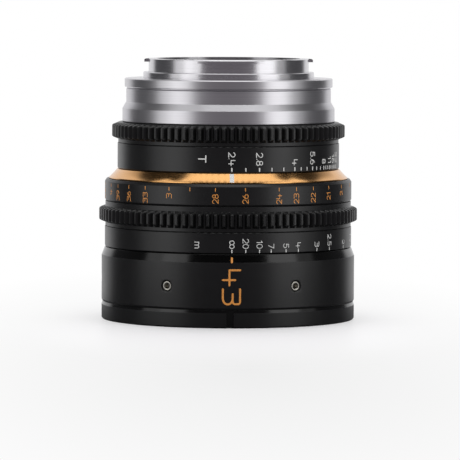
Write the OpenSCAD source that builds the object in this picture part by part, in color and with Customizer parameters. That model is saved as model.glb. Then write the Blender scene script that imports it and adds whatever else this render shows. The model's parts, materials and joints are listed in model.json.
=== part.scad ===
// Cinema prime lens: a fixed barrel, a focus ring that drives the lens block through a
// three-start helical cam, and an iris ring that turns nine blades through a cam ring.
// The lens stands on its front rim: z = 0 is the front face, +Z runs to the camera mount,
// and the index line faces -Y. It is drawn at infinity focus with the iris wide open.

/* [Front] */
// Outer diameter of the front ring and front barrel
front_od = 80; // [79:0.5:86]
// Height of the screwed-in front ring
front_ring_h = 5.6; // [5.2:0.1:8]
// Wall between the filter thread and the outside of the front ring
filter_rim = 1.5; // [1.5:0.5:3]
// Pitch of the filter thread
filter_pitch = 0.75; // [0.5:0.25:1]
// Depth of the filter thread
filter_depth = 4.4; // [3:0.1:4.8]
// Width of the spanner slot in the front ring
slot_w = 2; // [1:0.1:4]
// Depth of the spanner slot in the front ring
slot_d = 0.9; // [0.4:0.1:1.1]
// Height of the front barrel
front_barrel_h = 17.15; // [15:0.05:24]
// Height of the cone at the rear of the front barrel
front_cone_h = 2.65; // [1:0.05:5]
// Diameter of the set screws in the front barrel
set_screw_d = 3; // [2:0.5:4]
// Height of the set screws above the front barrel's lower edge
set_screw_up = 7.1; // [6:0.1:9]
// How deep the set screws sit below the surface
set_screw_sink = 0.6; // [0.2:0.1:1.2]

/* [Focus ring] */
// How far the two distance bands stand back from the front barrel
band_step = 1; // [0.6:0.05:1.3]
// Height of the metre band
metre_band_h = 6.45; // [5:0.05:9]
// Height of the focus gear ring with its rims
focus_gear_h = 7.85; // [6.6:0.05:10]
// Width of the focus gear teeth
focus_face_w = 5.2; // [4:0.1:5.8]
// Height of the plain rim behind the focus gear teeth
focus_gear_rim = 1.55; // [0.1:0.05:1.8]
// How far the pitch circle of the focus gear stands above the bands
focus_gear_rise = 1; // [0.6:0.05:2.6]
// Height of the feet band
feet_band_h = 6.85; // [6.4:0.05:9]
// Turn of the focus ring from infinity to the nearest distance, in degrees
focus_throw = 270; // [180:5:300]
// Travel of the lens block for one full turn of the focus ring
focus_lead = 5.22; // [4.8:0.02:5.4]

/* [Index ring] */
// Height of the index ring
index_h = 2.9; // [2:0.1:5]
// How far the index ring stands back from the distance bands
index_step = 1; // [0:0.1:2]

/* [Iris ring] */
// Diameter of the iris scale band
iris_band_od = 70.1; // [69.6:0.1:70.6]
// Height of the iris scale band
iris_band_h = 8.05; // [6.5:0.05:10]
// Height of the iris gear ring with its rims
iris_gear_h = 6.4; // [6:0.05:9]
// Width of the iris gear teeth
iris_face_w = 5.2; // [4:0.1:5.6]
// Height of the plain rim behind the iris gear teeth
iris_gear_rim = 0.1; // [0.1:0.05:0.4]
// How far the pitch circle of the iris gear stands above the iris band
iris_gear_rise = 0.95; // [0.6:0.05:2.6]
// Turn of the iris ring from open to closed, in degrees
iris_throw = 72.5; // [68:0.5:78]

/* [Camera mount] */
// Largest diameter of the mount base
base_od = 67.1; // [65.4:0.1:68]
// Diameter of the mount base below the flange
base_top_od = 64.7; // [64.2:0.1:65.2]
// Height of the mount base
base_h = 10.65; // [9:0.1:14]
// Height of the straight part at the front of the mount base
base_straight_h = 4.15; // [2:0.1:5]
// Height of the cone on the mount base
base_cone_h = 2.1; // [1:0.1:3]
// Thickness of the shim that sets the flange distance
shim_t = 0.2; // [0.1:0.05:0.5]
// Diameter of the bayonet flange
flange_od = 65.7; // [65:0.1:68]
// Thickness of the bayonet flange
flange_h = 2.8; // [2.4:0.1:4]
// Diameter of the register that centres the lens in the camera
register_od = 53.96; // [53.4:0.02:54]
// Height of the register above the flange
register_h = 2; // [1.5:0.1:2.6]
// Diameter of the bayonet barrel
bayonet_od = 50.6; // [50:0.02:51]
// Bore of the bayonet
bayonet_bore = 45.2; // [44.6:0.1:46]
// Length of the bayonet from the flange face to its end
bayonet_h = 6.2; // [5.4:0.1:7]
// Diameter over the bayonet lugs
lug_od = 53.32; // [52.6:0.02:53.4]
// Thickness of the bayonet lugs
lug_t = 1.1; // [0.8:0.1:1.6]
// Height of the bevel on the rear edge of the lugs
lug_bevel = 0.3; // [0.2:0.1:0.7]

/* [Walls] */
// Wall of the bands on the focus sleeve
band_wall = 1.25; // [1.1:0.05:1.4]
// Wall of the focus sleeve
sleeve_wall = 1.7; // [1.6:0.05:1.8]
// Wall of the main barrel under the focus ring
main_wall = 2.3; // [2:0.1:2.5]
// Wall of the tube of the lens block
carrier_wall = 2.5; // [2.2:0.1:2.6]
// Wall of the band on the iris sleeve
iris_band_wall = 1.6; // [1.3:0.05:1.7]
// Wall of the iris sleeve
iris_sleeve_wall = 1.7; // [1.5:0.05:1.8]
// Wall of the main barrel under the iris ring
main_rear_wall = 2.1; // [1.8:0.1:2.3]
// Wall of the mount base round the main barrel
base_wall = 2.3; // [2:0.05:2.5]

/* [Clearances] */
// Radial clearance between pieces that turn or slide on each other
run_clear = 0.1; // [0.06:0.01:0.14]
// Radial clearance between pieces that are fixed to each other
fit_clear = 0.05; // [0.02:0.01:0.07]
// Gap beside the rings that turn
face_gap = 0.2; // [0.1:0.05:0.4]
// Gap between the bands of one ring, which shows as a seam
seam_gap = 0.1; // [0.05:0.05:0.3]

/* [Glass] */
// Radius of the rim of the front element
rim_1 = 22; // [21:0.1:22.5]
// Radius of the rim of the second element
rim_2 = 18; // [17.4:0.1:18.4]
// Radius of the rim of the front cemented pair
rim_3 = 14.5; // [14:0.1:15]
// Radius of the rim of the rear cemented pair
rim_5 = 15; // [14.6:0.1:15.4]
// Radius of the rim of the seventh element
rim_7 = 16.5; // [16.1:0.1:16.8]
// Radius of the rim of the rear element
rim_8 = 17.5; // [17.2:0.1:18]
// Curve of the front element's front surface
curve_1 = 75; // [70:1:90]
// Curve of the front element's hollow rear surface
curve_2 = 28; // [27:0.2:30]
// Curve of the second element's front surface
curve_3 = 55; // [52:1:70]
// Curve of the second element's rear surface
curve_4 = 105; // [95:1:160]
// Curve of the third element's front surface
curve_5 = 40; // [39:1:50]
// Curve of the cement between the third and fourth elements
curve_6 = 107; // [95:1:160]
// Curve of the fourth element's hollow rear surface
curve_7 = 23; // [22:0.2:25]
// Curve of the fifth element's hollow front surface
curve_8 = 26.5; // [25:0.5:30]
// Curve of the cement between the fifth and sixth elements
curve_9 = 76; // [70:1:90]
// Curve of the sixth element's rear surface
curve_10 = 33; // [31:0.5:40]
// Curve of the seventh element's hollow front surface
curve_11 = 130; // [110:1:180]
// Curve of the seventh element's rear surface
curve_12 = 42.5; // [40:0.5:50]
// Curve of the rear element's front surface
curve_13 = 81; // [75:1:110]
// Curve of the rear element's rear surface
curve_14 = 88; // [80:1:120]
// Thickness of the front element on the axis
thick_1 = 2.2; // [1.8:0.1:2.8]
// Air between the first and second elements on the axis
air_12 = 5; // [4.9:0.1:6]
// Thickness of the second element on the axis
thick_2 = 6; // [5.8:0.1:7]
// Air between the second and third elements on the axis
air_23 = 0.8; // [0.4:0.1:1.4]
// Thickness of the third element on the axis
thick_3 = 4.8; // [4.6:0.1:6]
// Thickness of the fourth element on the axis
thick_4 = 1.2; // [1:0.1:2]
// Thickness of the fifth element on the axis
thick_5 = 1.4; // [1.1:0.1:2.4]
// Thickness of the sixth element on the axis
thick_6 = 7.4; // [7:0.1:8.4]
// Air between the sixth and seventh elements on the axis
air_67 = 3; // [2.6:0.1:4]
// Thickness of the seventh element on the axis
thick_7 = 5; // [4.6:0.1:6]
// Air between the seventh and rear elements on the axis
air_78 = 8.5; // [7.6:0.1:9]
// Thickness of the rear element on the axis
thick_8 = 5.5; // [5:0.1:6]

/* [Iris] */
// Radius of the opening with the blades fully open
iris_open_r = 12; // [11.8:0.1:12.4]
// Outer radius of the blades with the iris open
blade_out_r = 20; // [19:0.1:20.4]
// Radius of the circle of blade pivots
pivot_r = 22.5; // [22.3:0.1:22.7]
// Distance from a blade's pivot to its drive pin
lever = 6.2; // [6:0.05:6.4]
// Turn of a blade from open to closed, in degrees
blade_turn = 27.8; // [26.5:0.1:28.5]
// Thickness of a blade
blade_t = 0.15; // [0.08:0.01:0.18]
// Step from one blade to the next along the axis
blade_step = 0.25; // [0.22:0.01:0.3]
// Diameter of the pin that takes the iris ring's turn to the cam ring
drive_pin_d = 2; // [1.6:0.1:2.2]

/* [Hidden] */
$fn = 96;
glass_fn = 400;

// Angle of the index line, seen from the rear
front = -90;
// Cut that reaches safely past a surface
past = 1;

// Stack along the axis, from the front face up to the end of the bayonet
front_z1 = front_ring_h + front_barrel_h;
focus_z0 = front_z1 + face_gap;
metre_z1 = focus_z0 + metre_band_h;
fgear_z0 = metre_z1 + seam_gap;
fgear_z1 = fgear_z0 + focus_gear_h;
feet_z0 = fgear_z1 + seam_gap;
focus_z1 = feet_z0 + feet_band_h;
index_z0 = focus_z1 + face_gap;
index_z1 = index_z0 + index_h;
iris_z0 = index_z1 + face_gap;
iband_z1 = iris_z0 + iris_band_h;
igear_z0 = iband_z1 + seam_gap;
iris_z1 = igear_z0 + iris_gear_h;
base_z0 = iris_z1 + face_gap;
base_z1 = base_z0 + base_h;
shim_z1 = base_z1 + shim_t;
flange_z = shim_z1 + flange_h;
register_z1 = flange_z + register_h;
end_z = flange_z + bayonet_h;

// Radii under the focus ring, from the bands inwards
front_r = front_od / 2;
band_r = front_r - band_step;
sleeve_r1 = band_r - band_wall - fit_clear;
sleeve_r0 = sleeve_r1 - sleeve_wall;
main_r = sleeve_r0 - run_clear;
main_bore_r = main_r - main_wall;
carrier_r = main_bore_r - run_clear;
carrier_bore_r = carrier_r - carrier_wall;

// Radii under the iris ring and the mount base
iband_r = iris_band_od / 2;
isleeve_r1 = iband_r - iris_band_wall - fit_clear;
isleeve_r0 = isleeve_r1 - iris_sleeve_wall;
main_rear_r = isleeve_r0 - run_clear;
main_rear_bore_r = main_rear_r - main_rear_wall;
index_seat_r = main_rear_r + 2;
base_r = base_od / 2;
base_top_r = base_top_od / 2;
base_bore_r = base_top_r - base_wall;
main_end_r = base_bore_r - fit_clear;
main_end_bore_r = main_end_r - 2.8;
base_lip = 3;
main_end_z = base_z1 - base_lip;
base_screw_r = main_end_r - 1.4;
base_lip_r = base_screw_r - 2.1;

// Front ring: minor diameter of the filter thread, the lip behind it and the screwed spigot
filter_minor_r = front_r - filter_rim - 0.541 * filter_pitch;
front_lip_r = carrier_r + 0.15;
front_lip_z1 = front_ring_h + 0.8;
spigot_r = min(filter_minor_r, front_r - 1.9) - fit_clear;
spigot_z1 = front_ring_h + 2.9;
slot_turn = -0.9;

// Main barrel: where it starts, its inner web, and the stop and cam follower heights
main_z0 = spigot_z1 + 0.4;
main_web = 2;
main_web_z0 = index_z0 - main_web;
follower_z = index_z0 - 7;
focus_stop_z = index_z0 - 3.1;
focus_stop_d = 1.4;
focus_stop_r1 = sleeve_r0 + 1;
focus_stop_turn = 30;
focus_travel = focus_lead * focus_throw / 360;

// Cam followers: the shoulder runs in the straight slot and the tip in the helical groove
follower_count = 3;
follower_turn = front + 60;
shoulder_d = 2.4;
tip_d = 1.1;
tip_r1 = sleeve_r0 + 1;
groove_r = sleeve_r0 + 1.1;
groove_w = tip_d + 0.14;
groove_step = 10;
groove_over = 5;

// Iris drive: the pin's height, its angle with the iris open, and the tongue it drives
drive_z = iris_z0 + 2.4;
drive_turn = 90 + iris_throw / 2;
drive_r1 = isleeve_r1 - 0.1;
window_h = drive_pin_d + 0.4;
tongue_r0 = 24.3;
tongue_t = 1.6;
tongue_r1 = tongue_r0 + tongue_t;
tongue_w = drive_pin_d + 3;
tongue_z1 = drive_z + focus_travel + drive_pin_d / 2 + 0.6;
tongue_slot_z0 = drive_z - drive_pin_d / 2 - 0.5;

// Iris stack inside the lens block, from its rear flange forwards to the web
carrier_z1 = main_web_z0 - 0.4;
blades = 9;
rear_flange_t = 1.4;
cam_t = 2;
cam_slot_d = 1.2;
housing_floor = 1.3;
cam_z1 = carrier_z1 - rear_flange_t - 0.15;
cam_z0 = cam_z1 - cam_t;
blade_z0 = cam_z0 - 0.1 - blades * blade_step;
floor_z1 = blade_z0 - 0.2;
web_z1 = floor_z1 - housing_floor;
web_t = 4.2;
web_z0 = web_z1 - web_t;
housing_r1 = carrier_bore_r - fit_clear;
housing_r0 = 26.2;
housing_z1 = carrier_z1 - rear_flange_t;
stop_r = iris_open_r - 0.4;
pivot_pin_d = 1;
drive_peg_d = 0.8;
cam_r1 = housing_r0 - run_clear;
cam_r0 = 19.5;
cam_slot_w = drive_peg_d + 0.16;
blade_gear = blade_turn / iris_throw;
blade_span = 135;
blade_ear = 1.5;
blade_lap = 0.5;
lever_w = 1.6;
peg_short = 0.2;
pivot_sink = 0.5;
block_screw_r = 28.5;
block_screw_d = 1.9;

// Glass, worked out from the two seats next to the iris
glass_gap = 0.02;
cell_lip = 0.7;
hollow_4 = 11.5;
hollow_5 = 13;
hollow_1 = rim_2;
seat_4 = web_z1 - 0.1 - cell_lip;
v7 = seat_4 - sag(curve_7, hollow_4);
v6 = v7 - thick_4;
v5 = v6 - thick_3;
v4 = v5 - air_23;
v3 = v4 - thick_2;
v2 = v3 - air_12;
v1 = v2 - thick_1;
seat_5 = housing_z1 + 1.1;
v8 = seat_5 + sag(curve_8, hollow_5);
v9 = v8 + thick_5;
v10 = v9 + thick_6;
v11 = v10 + air_67;
v12 = v11 + thick_7;
v13 = v12 + air_78;
v14 = v13 + thick_8;

// Front cell: two outer steps, three bores that open towards the front
bore_1 = rim_1 + fit_clear;
bore_2 = rim_2 + fit_clear;
bore_3 = rim_3 + fit_clear;
cell_r = rim_1 + 4;
cell_neck_r = rim_3 + 9.5;
cell_z0 = v1 + 1.4;
seat_1 = v2 + sag(curve_2, hollow_1);
seat_2 = v4 - sag(curve_4, bore_3) + glass_gap;
keeper_1_r = rim_1 - 2;
keeper_3_r = rim_3 - 2;
front_spacer_r = rim_2 - 1.5;
baffle_z0 = v1 - 1.2;
carrier_z0 = cell_z0 + 0.1;

// Rear cell: a flange on the iris housing and three bores that open towards the rear
bore_5 = rim_5 + fit_clear;
bore_7 = rim_7 + fit_clear;
bore_8 = rim_8 + fit_clear;
rear_tube_r = tongue_r0 - 0.8;
rear_neck_r = bayonet_bore / 2 - 1.6;
rear_neck_z = base_z0 - 1.8;
seat_7 = v11 - sag(curve_11, rim_7) - glass_gap;
seat_8 = v13 + sag(curve_13, bore_7) - glass_gap;
spacer_1_r = rim_5 - 1.5;
spacer_2_r = rim_7 - 1.5;
keeper_8_r = rim_8 - 2;
keeper_8_z0 = v14 - sag(curve_14, keeper_8_r) + glass_gap;
rear_z1 = v14 + 2;

// Camera mount: screws, shim, lock-pin hole and the black baffle in the bayonet's bore
screw_count = 4;
mount_screw_d = 1.9;
mount_head_d = 3.2;
flange_screw_r = (register_od + flange_od) / 4;
flange_head_d = 3.8;
lock_pin_d = 2.4;
lock_pin_turn = 20;
baffle_r1 = bayonet_bore / 2 - fit_clear;
baffle_r0 = 19;
baffle_lip_z = register_z1 + 1;
baffle_z1 = baffle_lip_z + 1.2;
lug_turns = [front, front + 120, front + 240];
lug_spans = [46, 60, 60];

// Gears of the pitch that follow-focus drives use
gear_module = 0.8;
pressure = 20;
focus_teeth = round(2 * (band_r + focus_gear_rise) / gear_module);
iris_teeth = round(2 * (iband_r + iris_gear_rise) / gear_module);

// How far a surface of radius r falls away at the height h from the axis
function sag(r, h) = r - sqrt(r * r - h * h);
function polar(r, a) = [r * cos(a), r * sin(a)];
function turned(p, a) = [p[0] * cos(a) - p[1] * sin(a), p[0] * sin(a) + p[1] * cos(a)];
function tip_radius(teeth) = gear_module * (teeth / 2 + 1);
function root_radius(teeth) = gear_module * (teeth / 2 - 1.25);

// Outline of a straight-sided gear: four points a tooth
function gear_points(teeth) = [
  for (i = [0 : teeth - 1], k = [0 : 3])
    let (
      half = gear_module * PI / 4,
      root = half + 1.25 * gear_module * tan(pressure),
      tip = half - gear_module * tan(pressure),
      r = (k == 0 || k == 3) ? root_radius(teeth) : tip_radius(teeth),
      w = (k == 0 || k == 3) ? root : tip,
      side = k < 2 ? -1 : 1
    )
    polar(r, 360 / teeth * i + side * asin(w / r))
];

// Place of a blade's drive pin about the axis when the blade has turned by b, pivot at angle 0
function drive_peg(b) = [pivot_r, 0] + lever * polar(1, -90 + blade_turn / 2 - b);
// The same place as the turning cam ring sees it
function peg_in_cam(b) = turned(drive_peg(b), b / blade_gear);
// Centre of the circle through three points
function circle_centre(a, b, c) =
  let (
    u = b - a,
    v = c - a,
    d = 2 * (u[0] * v[1] - u[1] * v[0])
  )
  a + [v[1] * (u * u) - u[1] * (v * v), u[0] * (v * v) - v[0] * (u * u)] / d;

module tube(r0, r1, z0, z1) {
  translate([0, 0, z0])
    difference() {
      cylinder(h = z1 - z0, r = r1);
      translate([0, 0, -past]) cylinder(h = z1 - z0 + 2 * past, r = r0);
    }
}

module disc(r, z0, z1) {
  translate([0, 0, z0]) cylinder(h = z1 - z0, r = r);
}

module arc_block(r0, r1, z0, z1, a0, span) {
  rotate_extrude(angle = span, start = a0)
    translate([r0, z0]) square([r1 - r0, z1 - z0]);
}

// A round bar that points out from the axis at the angle a
module spoke(a, z, r0, r1, d) {
  rotate([0, 0, a])
    translate([r0, 0, z])
      rotate([0, 90, 0]) cylinder(h = r1 - r0, d = d);
}

module ring_of(count, r, a0) {
  for (i = [0 : count - 1])
    rotate([0, 0, a0 + 360 / count * i]) translate([r, 0, 0]) children();
}

// A countersunk screw with its head's top at z1 and its end at z0
module flat_screw(d, head_d, z0, z1) {
  head_h = (head_d - d) / 2;
  difference() {
    union() {
      disc(d / 2, z0, z1 - head_h);
      translate([0, 0, z1 - head_h]) cylinder(h = head_h, d1 = d, d2 = head_d);
    }
    for (a = [0, 90])
      rotate([0, 0, a])
        translate([-head_d * 0.3, -head_d * 0.06, z1 - head_h * 0.6])
          cube([head_d * 0.6, head_d * 0.12, head_h]);
  }
}

module flat_screw_hole(d, head_d, z0, z1) {
  head_h = (head_d - d) / 2;
  disc(d / 2 + fit_clear, z0, z1);
  translate([0, 0, z1 - head_h - 2 * fit_clear])
    cylinder(h = head_h, d1 = d + 2 * fit_clear, d2 = head_d + 2 * fit_clear);
  disc(head_d / 2 + fit_clear, z1 - 2 * fit_clear - 0.001, z1 + past);
}

module band(r0, r1, z0, z1, low, high) {
  rotate_extrude()
    polygon([
      [r0, z0], [r1 - low * 0.7, z0], [r1, z0 + low],
      [r1, z1 - high], [r1 - high * 0.7, z1], [r0, z1]
    ]);
}

// A ring of gear teeth between two plain rims, with the ends of the teeth bevelled
module gear_ring(teeth, r0, z0, z1, face, behind) {
  rim = root_radius(teeth) - 0.15;
  bevel = 0.8;
  top = tip_radius(teeth);
  slope = bevel / (top - rim);
  deep = rim - 0.6;
  wide = top + 1;
  t1 = z1 - behind;
  t0 = t1 - face;
  difference() {
    union() {
      disc(rim, z0, z1);
      intersection() {
        translate([0, 0, t0 - 1]) linear_extrude(height = face + 2) polygon(gear_points(teeth));
        rotate_extrude()
          polygon([
            [0, t0 - (rim - deep) * slope], [deep, t0 - (rim - deep) * slope],
            [wide, t0 + (wide - rim) * slope], [wide, t1 - (wide - rim) * slope],
            [deep, t1 + (rim - deep) * slope], [0, t1 + (rim - deep) * slope]
          ]);
      }
    }
    disc(r0, z0 - past, z1 + past);
  }
}

// One element of glass. A positive curve bulges outwards and a negative one is hollow,
// and a hollow surface ends at its own radius with a flat rim round it
module element(z_front, front_curve, front_hollow, z_rear, rear_curve, rear_hollow, rim) {
  low = front_curve > 0 ? z_front : z_front - sag(-front_curve, front_hollow);
  high = rear_curve > 0 ? z_rear : z_rear + sag(-rear_curve, rear_hollow);
  difference() {
    intersection() {
      disc(rim, low, high);
      if (front_curve > 0)
        translate([0, 0, z_front + front_curve]) sphere(r = front_curve, $fn = glass_fn);
      if (rear_curve > 0)
        translate([0, 0, z_rear - rear_curve]) sphere(r = rear_curve, $fn = glass_fn);
    }
    if (front_curve < 0)
      translate([0, 0, z_front + front_curve]) sphere(r = -front_curve, $fn = glass_fn);
    if (rear_curve < 0)
      translate([0, 0, z_rear - rear_curve]) sphere(r = -rear_curve, $fn = glass_fn);
  }
}

// Front ring with the filter thread, a lip behind it and the spigot that screws in
module front_ring() {
  color("dimgray")
    difference() {
      rotate_extrude()
        polygon([
          [filter_minor_r + 0.3, 0], [front_r - 0.4, 0], [front_r, 0.4],
          [front_r, front_ring_h - 1], [front_r - 0.3, front_ring_h],
          [spigot_r, front_ring_h], [spigot_r, spigot_z1], [spigot_r - 1.6, spigot_z1],
          [spigot_r - 1.6, front_lip_z1], [front_lip_r, front_lip_z1],
          [front_lip_r, filter_depth], [filter_minor_r, filter_depth], [filter_minor_r, 0.3]
        ]);
      rotate([0, 0, front + slot_turn])
        translate([front_r - slot_d, -slot_w / 2, -past])
          cube([slot_d + past, slot_w, front_ring_h + 2 * past]);
    }
}

module front_barrel() {
  color("dimgray")
    difference() {
      rotate_extrude()
        polygon([
          [spigot_r + fit_clear, front_ring_h], [front_r - 0.35, front_ring_h],
          [front_r, front_ring_h + 0.6], [front_r, front_z1 - front_cone_h],
          [band_r, front_z1], [main_r + fit_clear, front_z1],
          [main_r + fit_clear, spigot_z1 + 0.1], [spigot_r + fit_clear, spigot_z1 + 0.1]
        ]);
      for (i = [0 : 5])
        spoke(front + 30 + 60 * i, front_ring_h + set_screw_up, main_r - past, front_r + past,
              set_screw_d + 2 * fit_clear);
    }
}

// Six socket set screws that press into a groove of the main barrel
module front_barrel_set_screws() {
  socket = set_screw_d / 2;
  color("gray")
    for (i = [0 : 5])
      rotate([0, 0, front + 30 + 60 * i])
        translate([main_r - 0.55, 0, front_ring_h + set_screw_up])
          rotate([0, 90, 0])
            difference() {
              cylinder(h = front_r - set_screw_sink - main_r + 0.55, d = set_screw_d);
              translate([0, 0, front_r - set_screw_sink - main_r - 1])
                cylinder(h = 3, d = socket / cos(30), $fn = 6);
            }
}

// The fixed tube that carries everything: focus seat, index seat, iris seat and mount seat
module main_barrel() {
  screw_z = front_ring_h + set_screw_up;
  slot_z0 = follower_z - focus_travel - shoulder_d / 2 - face_gap;
  slot_z1 = follower_z + shoulder_d / 2 + face_gap;
  window_end = asin((drive_pin_d / 2 + run_clear) / main_rear_bore_r);
  color("darkgray")
    difference() {
      rotate_extrude()
        polygon([
          [main_bore_r, main_z0], [main_r, main_z0],
          [main_r, screw_z - set_screw_d / 2 - 0.2],
          [main_r - 0.6, screw_z - set_screw_d / 2 - 0.2],
          [main_r - 0.6, screw_z + set_screw_d / 2 + 0.2],
          [main_r, screw_z + set_screw_d / 2 + 0.2],
          [main_r, index_z0], [index_seat_r, index_z0], [index_seat_r, index_z1],
          [main_rear_r, index_z1], [main_rear_r, iris_z1], [main_end_r, iris_z1],
          [main_end_r, main_end_z], [main_end_bore_r, main_end_z],
          [main_end_bore_r, iris_z1 - 2.6], [main_rear_bore_r, iris_z1 - 2.6],
          [main_rear_bore_r, main_web_z0], [main_bore_r, main_web_z0]
        ]);
      for (i = [0 : follower_count - 1])
        rotate([0, 0, follower_turn + 360 / follower_count * i])
          translate([main_bore_r - past, -shoulder_d / 2 - fit_clear, slot_z0])
            cube([main_wall + 2 * past, shoulder_d + 2 * fit_clear, slot_z1 - slot_z0]);
      arc_block(main_rear_bore_r - past, main_rear_r + past, drive_z - window_h / 2,
                drive_z + window_h / 2, drive_turn - iris_throw - window_end,
                iris_throw + 2 * window_end);
      spoke(focus_stop_turn, focus_stop_z, main_bore_r - past, main_r + past,
            focus_stop_d + 2 * fit_clear);
      ring_of(screw_count, base_screw_r, front)
        disc(mount_screw_d / 2 + fit_clear, main_end_z - 4, main_end_z + past);
    }
}

// Golden ring with the index line, screwed onto the main barrel behind the focus ring
module index_ring() {
  color("goldenrod")
    rotate_extrude()
      polygon([
        [index_seat_r + fit_clear, index_z0], [band_r - index_step, index_z0],
        [band_r - index_step, index_z0 + 0.25], [iband_r, index_z1 - 0.12],
        [iband_r - 0.12, index_z1], [index_seat_r + fit_clear, index_z1]
      ]);
}

module focus_stop_screw() {
  color("gray")
    spoke(focus_stop_turn, focus_stop_z, main_bore_r + 0.1, focus_stop_r1, focus_stop_d);
}

module mount_base() {
  color("silver")
    difference() {
      rotate_extrude()
        polygon([
          [base_bore_r, base_z0], [base_r - 0.25, base_z0], [base_r, base_z0 + 0.3],
          [base_r, base_z0 + base_straight_h],
          [base_top_r, base_z0 + base_straight_h + base_cone_h],
          [base_top_r, base_z1], [base_lip_r, base_z1], [base_lip_r, main_end_z],
          [base_bore_r, main_end_z]
        ]);
      ring_of(screw_count, base_screw_r, front)
        flat_screw_hole(mount_screw_d, mount_head_d, main_end_z - past, base_z1);
      ring_of(screw_count, flange_screw_r, front + 45)
        disc(mount_screw_d / 2 + fit_clear, main_end_z + 0.2, base_z1 + past);
    }
}

module mount_base_screws() {
  color("gray")
    ring_of(screw_count, base_screw_r, front)
      flat_screw(mount_screw_d, mount_head_d, main_end_z - 3.8, base_z1 - 2 * fit_clear);
}

module mount_shim() {
  color("gold")
    difference() {
      tube(base_lip_r, base_top_r - 0.1, base_z1, shim_z1);
      ring_of(screw_count, flange_screw_r, front + 45)
        disc(mount_screw_d / 2 + fit_clear, base_z1 - past, shim_z1 + past);
    }
}

// Bayonet with its flange, register and three lugs
module bayonet_mount() {
  bore_r = bayonet_bore / 2;
  color("lightgray")
    difference() {
      union() {
        rotate_extrude()
          polygon([
            [bore_r, shim_z1], [flange_od / 2 - 0.2, shim_z1], [flange_od / 2, shim_z1 + 0.2],
            [flange_od / 2, flange_z - 0.25], [flange_od / 2 - 0.25, flange_z],
            [register_od / 2, flange_z], [register_od / 2, register_z1 - 0.2],
            [register_od / 2 - 0.2, register_z1], [bayonet_od / 2, register_z1],
            [bayonet_od / 2, end_z - 0.2], [bayonet_od / 2 - 0.2, end_z], [bore_r, end_z]
          ]);
        for (i = [0 : 2])
          rotate_extrude(angle = lug_spans[i], start = lug_turns[i] - lug_spans[i] / 2)
            polygon([
              [bore_r + 0.5, end_z - lug_t], [lug_od / 2, end_z - lug_t],
              [lug_od / 2, end_z - 0.05 - lug_bevel],
              [lug_od / 2 - 1.6 * lug_bevel, end_z - 0.05], [bore_r + 0.5, end_z - 0.05]
            ]);
      }
      ring_of(screw_count, flange_screw_r, front + 45)
        flat_screw_hole(mount_screw_d, flange_head_d, shim_z1 - past, flange_z);
      rotate([0, 0, front + 45 + lock_pin_turn])
        translate([flange_screw_r, 0, 0]) disc(lock_pin_d / 2, flange_z - 2, flange_z + past);
    }
}

module bayonet_screws() {
  color("gray")
    ring_of(screw_count, flange_screw_r, front + 45)
      flat_screw(mount_screw_d, flange_head_d, main_end_z + 0.4, flange_z - 2 * fit_clear);
}

module rear_baffle() {
  color("black")
    rotate_extrude()
      polygon([
        [baffle_r1 - 0.9, flange_z], [baffle_r1, flange_z], [baffle_r1, baffle_z1],
        [baffle_r0, baffle_z1], [baffle_r0 + 0.6, baffle_lip_z], [baffle_r1 - 0.9, baffle_lip_z]
      ]);
}

// Helical groove for one cam follower, as the turning sleeve sees the follower's path
module helical_groove(a0) {
  steps = ceil((focus_throw + 2 * groove_over) / groove_step);
  turn = (focus_throw + 2 * groove_over) / steps;
  outer = groove_r / cos(turn / 2);
  inner = sleeve_r0 - 0.3;
  corners = [[inner, -1], [outer, -1], [outer, 1], [inner, 1]];
  points = [
    for (i = [0 : steps], c = corners)
      let (
        t = turn * i - groove_over,
        z = follower_z - focus_lead * t / 360
      )
      [c[0] * cos(a0 + t), c[0] * sin(a0 + t), z + c[1] * groove_w / 2]
  ];
  sides = [
    for (i = [0 : steps - 1], k = [0 : 3], half = [0, 1])
      let (
        a = 4 * i + k,
        b = 4 * i + (k + 1) % 4
      )
      half == 0 ? [a, b, b + 4] : [a, b + 4, a + 4]
  ];
  last = 4 * steps;
  caps = [[0, 2, 1], [0, 3, 2], [last, last + 1, last + 2], [last, last + 2, last + 3]];
  polyhedron(points = points, faces = concat(sides, caps));
}

// Sleeve of the focus ring: three helical grooves inside, and a groove for the stop screw
module focus_sleeve() {
  stop_w = focus_stop_d + 0.2;
  stop_end = asin(stop_w / 2 / sleeve_r0);
  color("slategray")
    difference() {
      tube(sleeve_r0, sleeve_r1, focus_z0, focus_z1);
      for (i = [0 : follower_count - 1])
        helical_groove(follower_turn + 360 / follower_count * i);
      arc_block(sleeve_r0 - past, focus_stop_r1 + 0.2, focus_stop_z - stop_w / 2,
                focus_stop_z + stop_w / 2, focus_stop_turn - stop_end, focus_throw + 2 * stop_end);
    }
}

module metre_scale_ring() {
  color("dimgray") band(sleeve_r1 + fit_clear, band_r, focus_z0, metre_z1, 0.3, 0.4);
}

module focus_gear_ring() {
  color("dimgray")
    gear_ring(focus_teeth, sleeve_r1 + fit_clear, fgear_z0, fgear_z1, focus_face_w,
              focus_gear_rim);
}

module feet_scale_ring() {
  color("dimgray") band(sleeve_r1 + fit_clear, band_r, feet_z0, focus_z1, 0.5, 0.8);
}

module iris_sleeve() {
  color("slategray")
    difference() {
      tube(isleeve_r0, isleeve_r1, iris_z0, iris_z1);
      spoke(drive_turn, drive_z, isleeve_r0 - past, isleeve_r1 + past,
            drive_pin_d + 2 * fit_clear);
    }
}

module iris_scale_ring() {
  color("dimgray") band(isleeve_r1 + fit_clear, iband_r, iris_z0, iband_z1, 0.3, 0.6);
}

module iris_gear_ring() {
  color("dimgray")
    gear_ring(iris_teeth, isleeve_r1 + fit_clear, igear_z0, iris_z1, iris_face_w,
              iris_gear_rim);
}

module iris_drive_pin() {
  color("gray") spoke(drive_turn, drive_z, tongue_r0 - 0.1, drive_r1, drive_pin_d);
}

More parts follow.
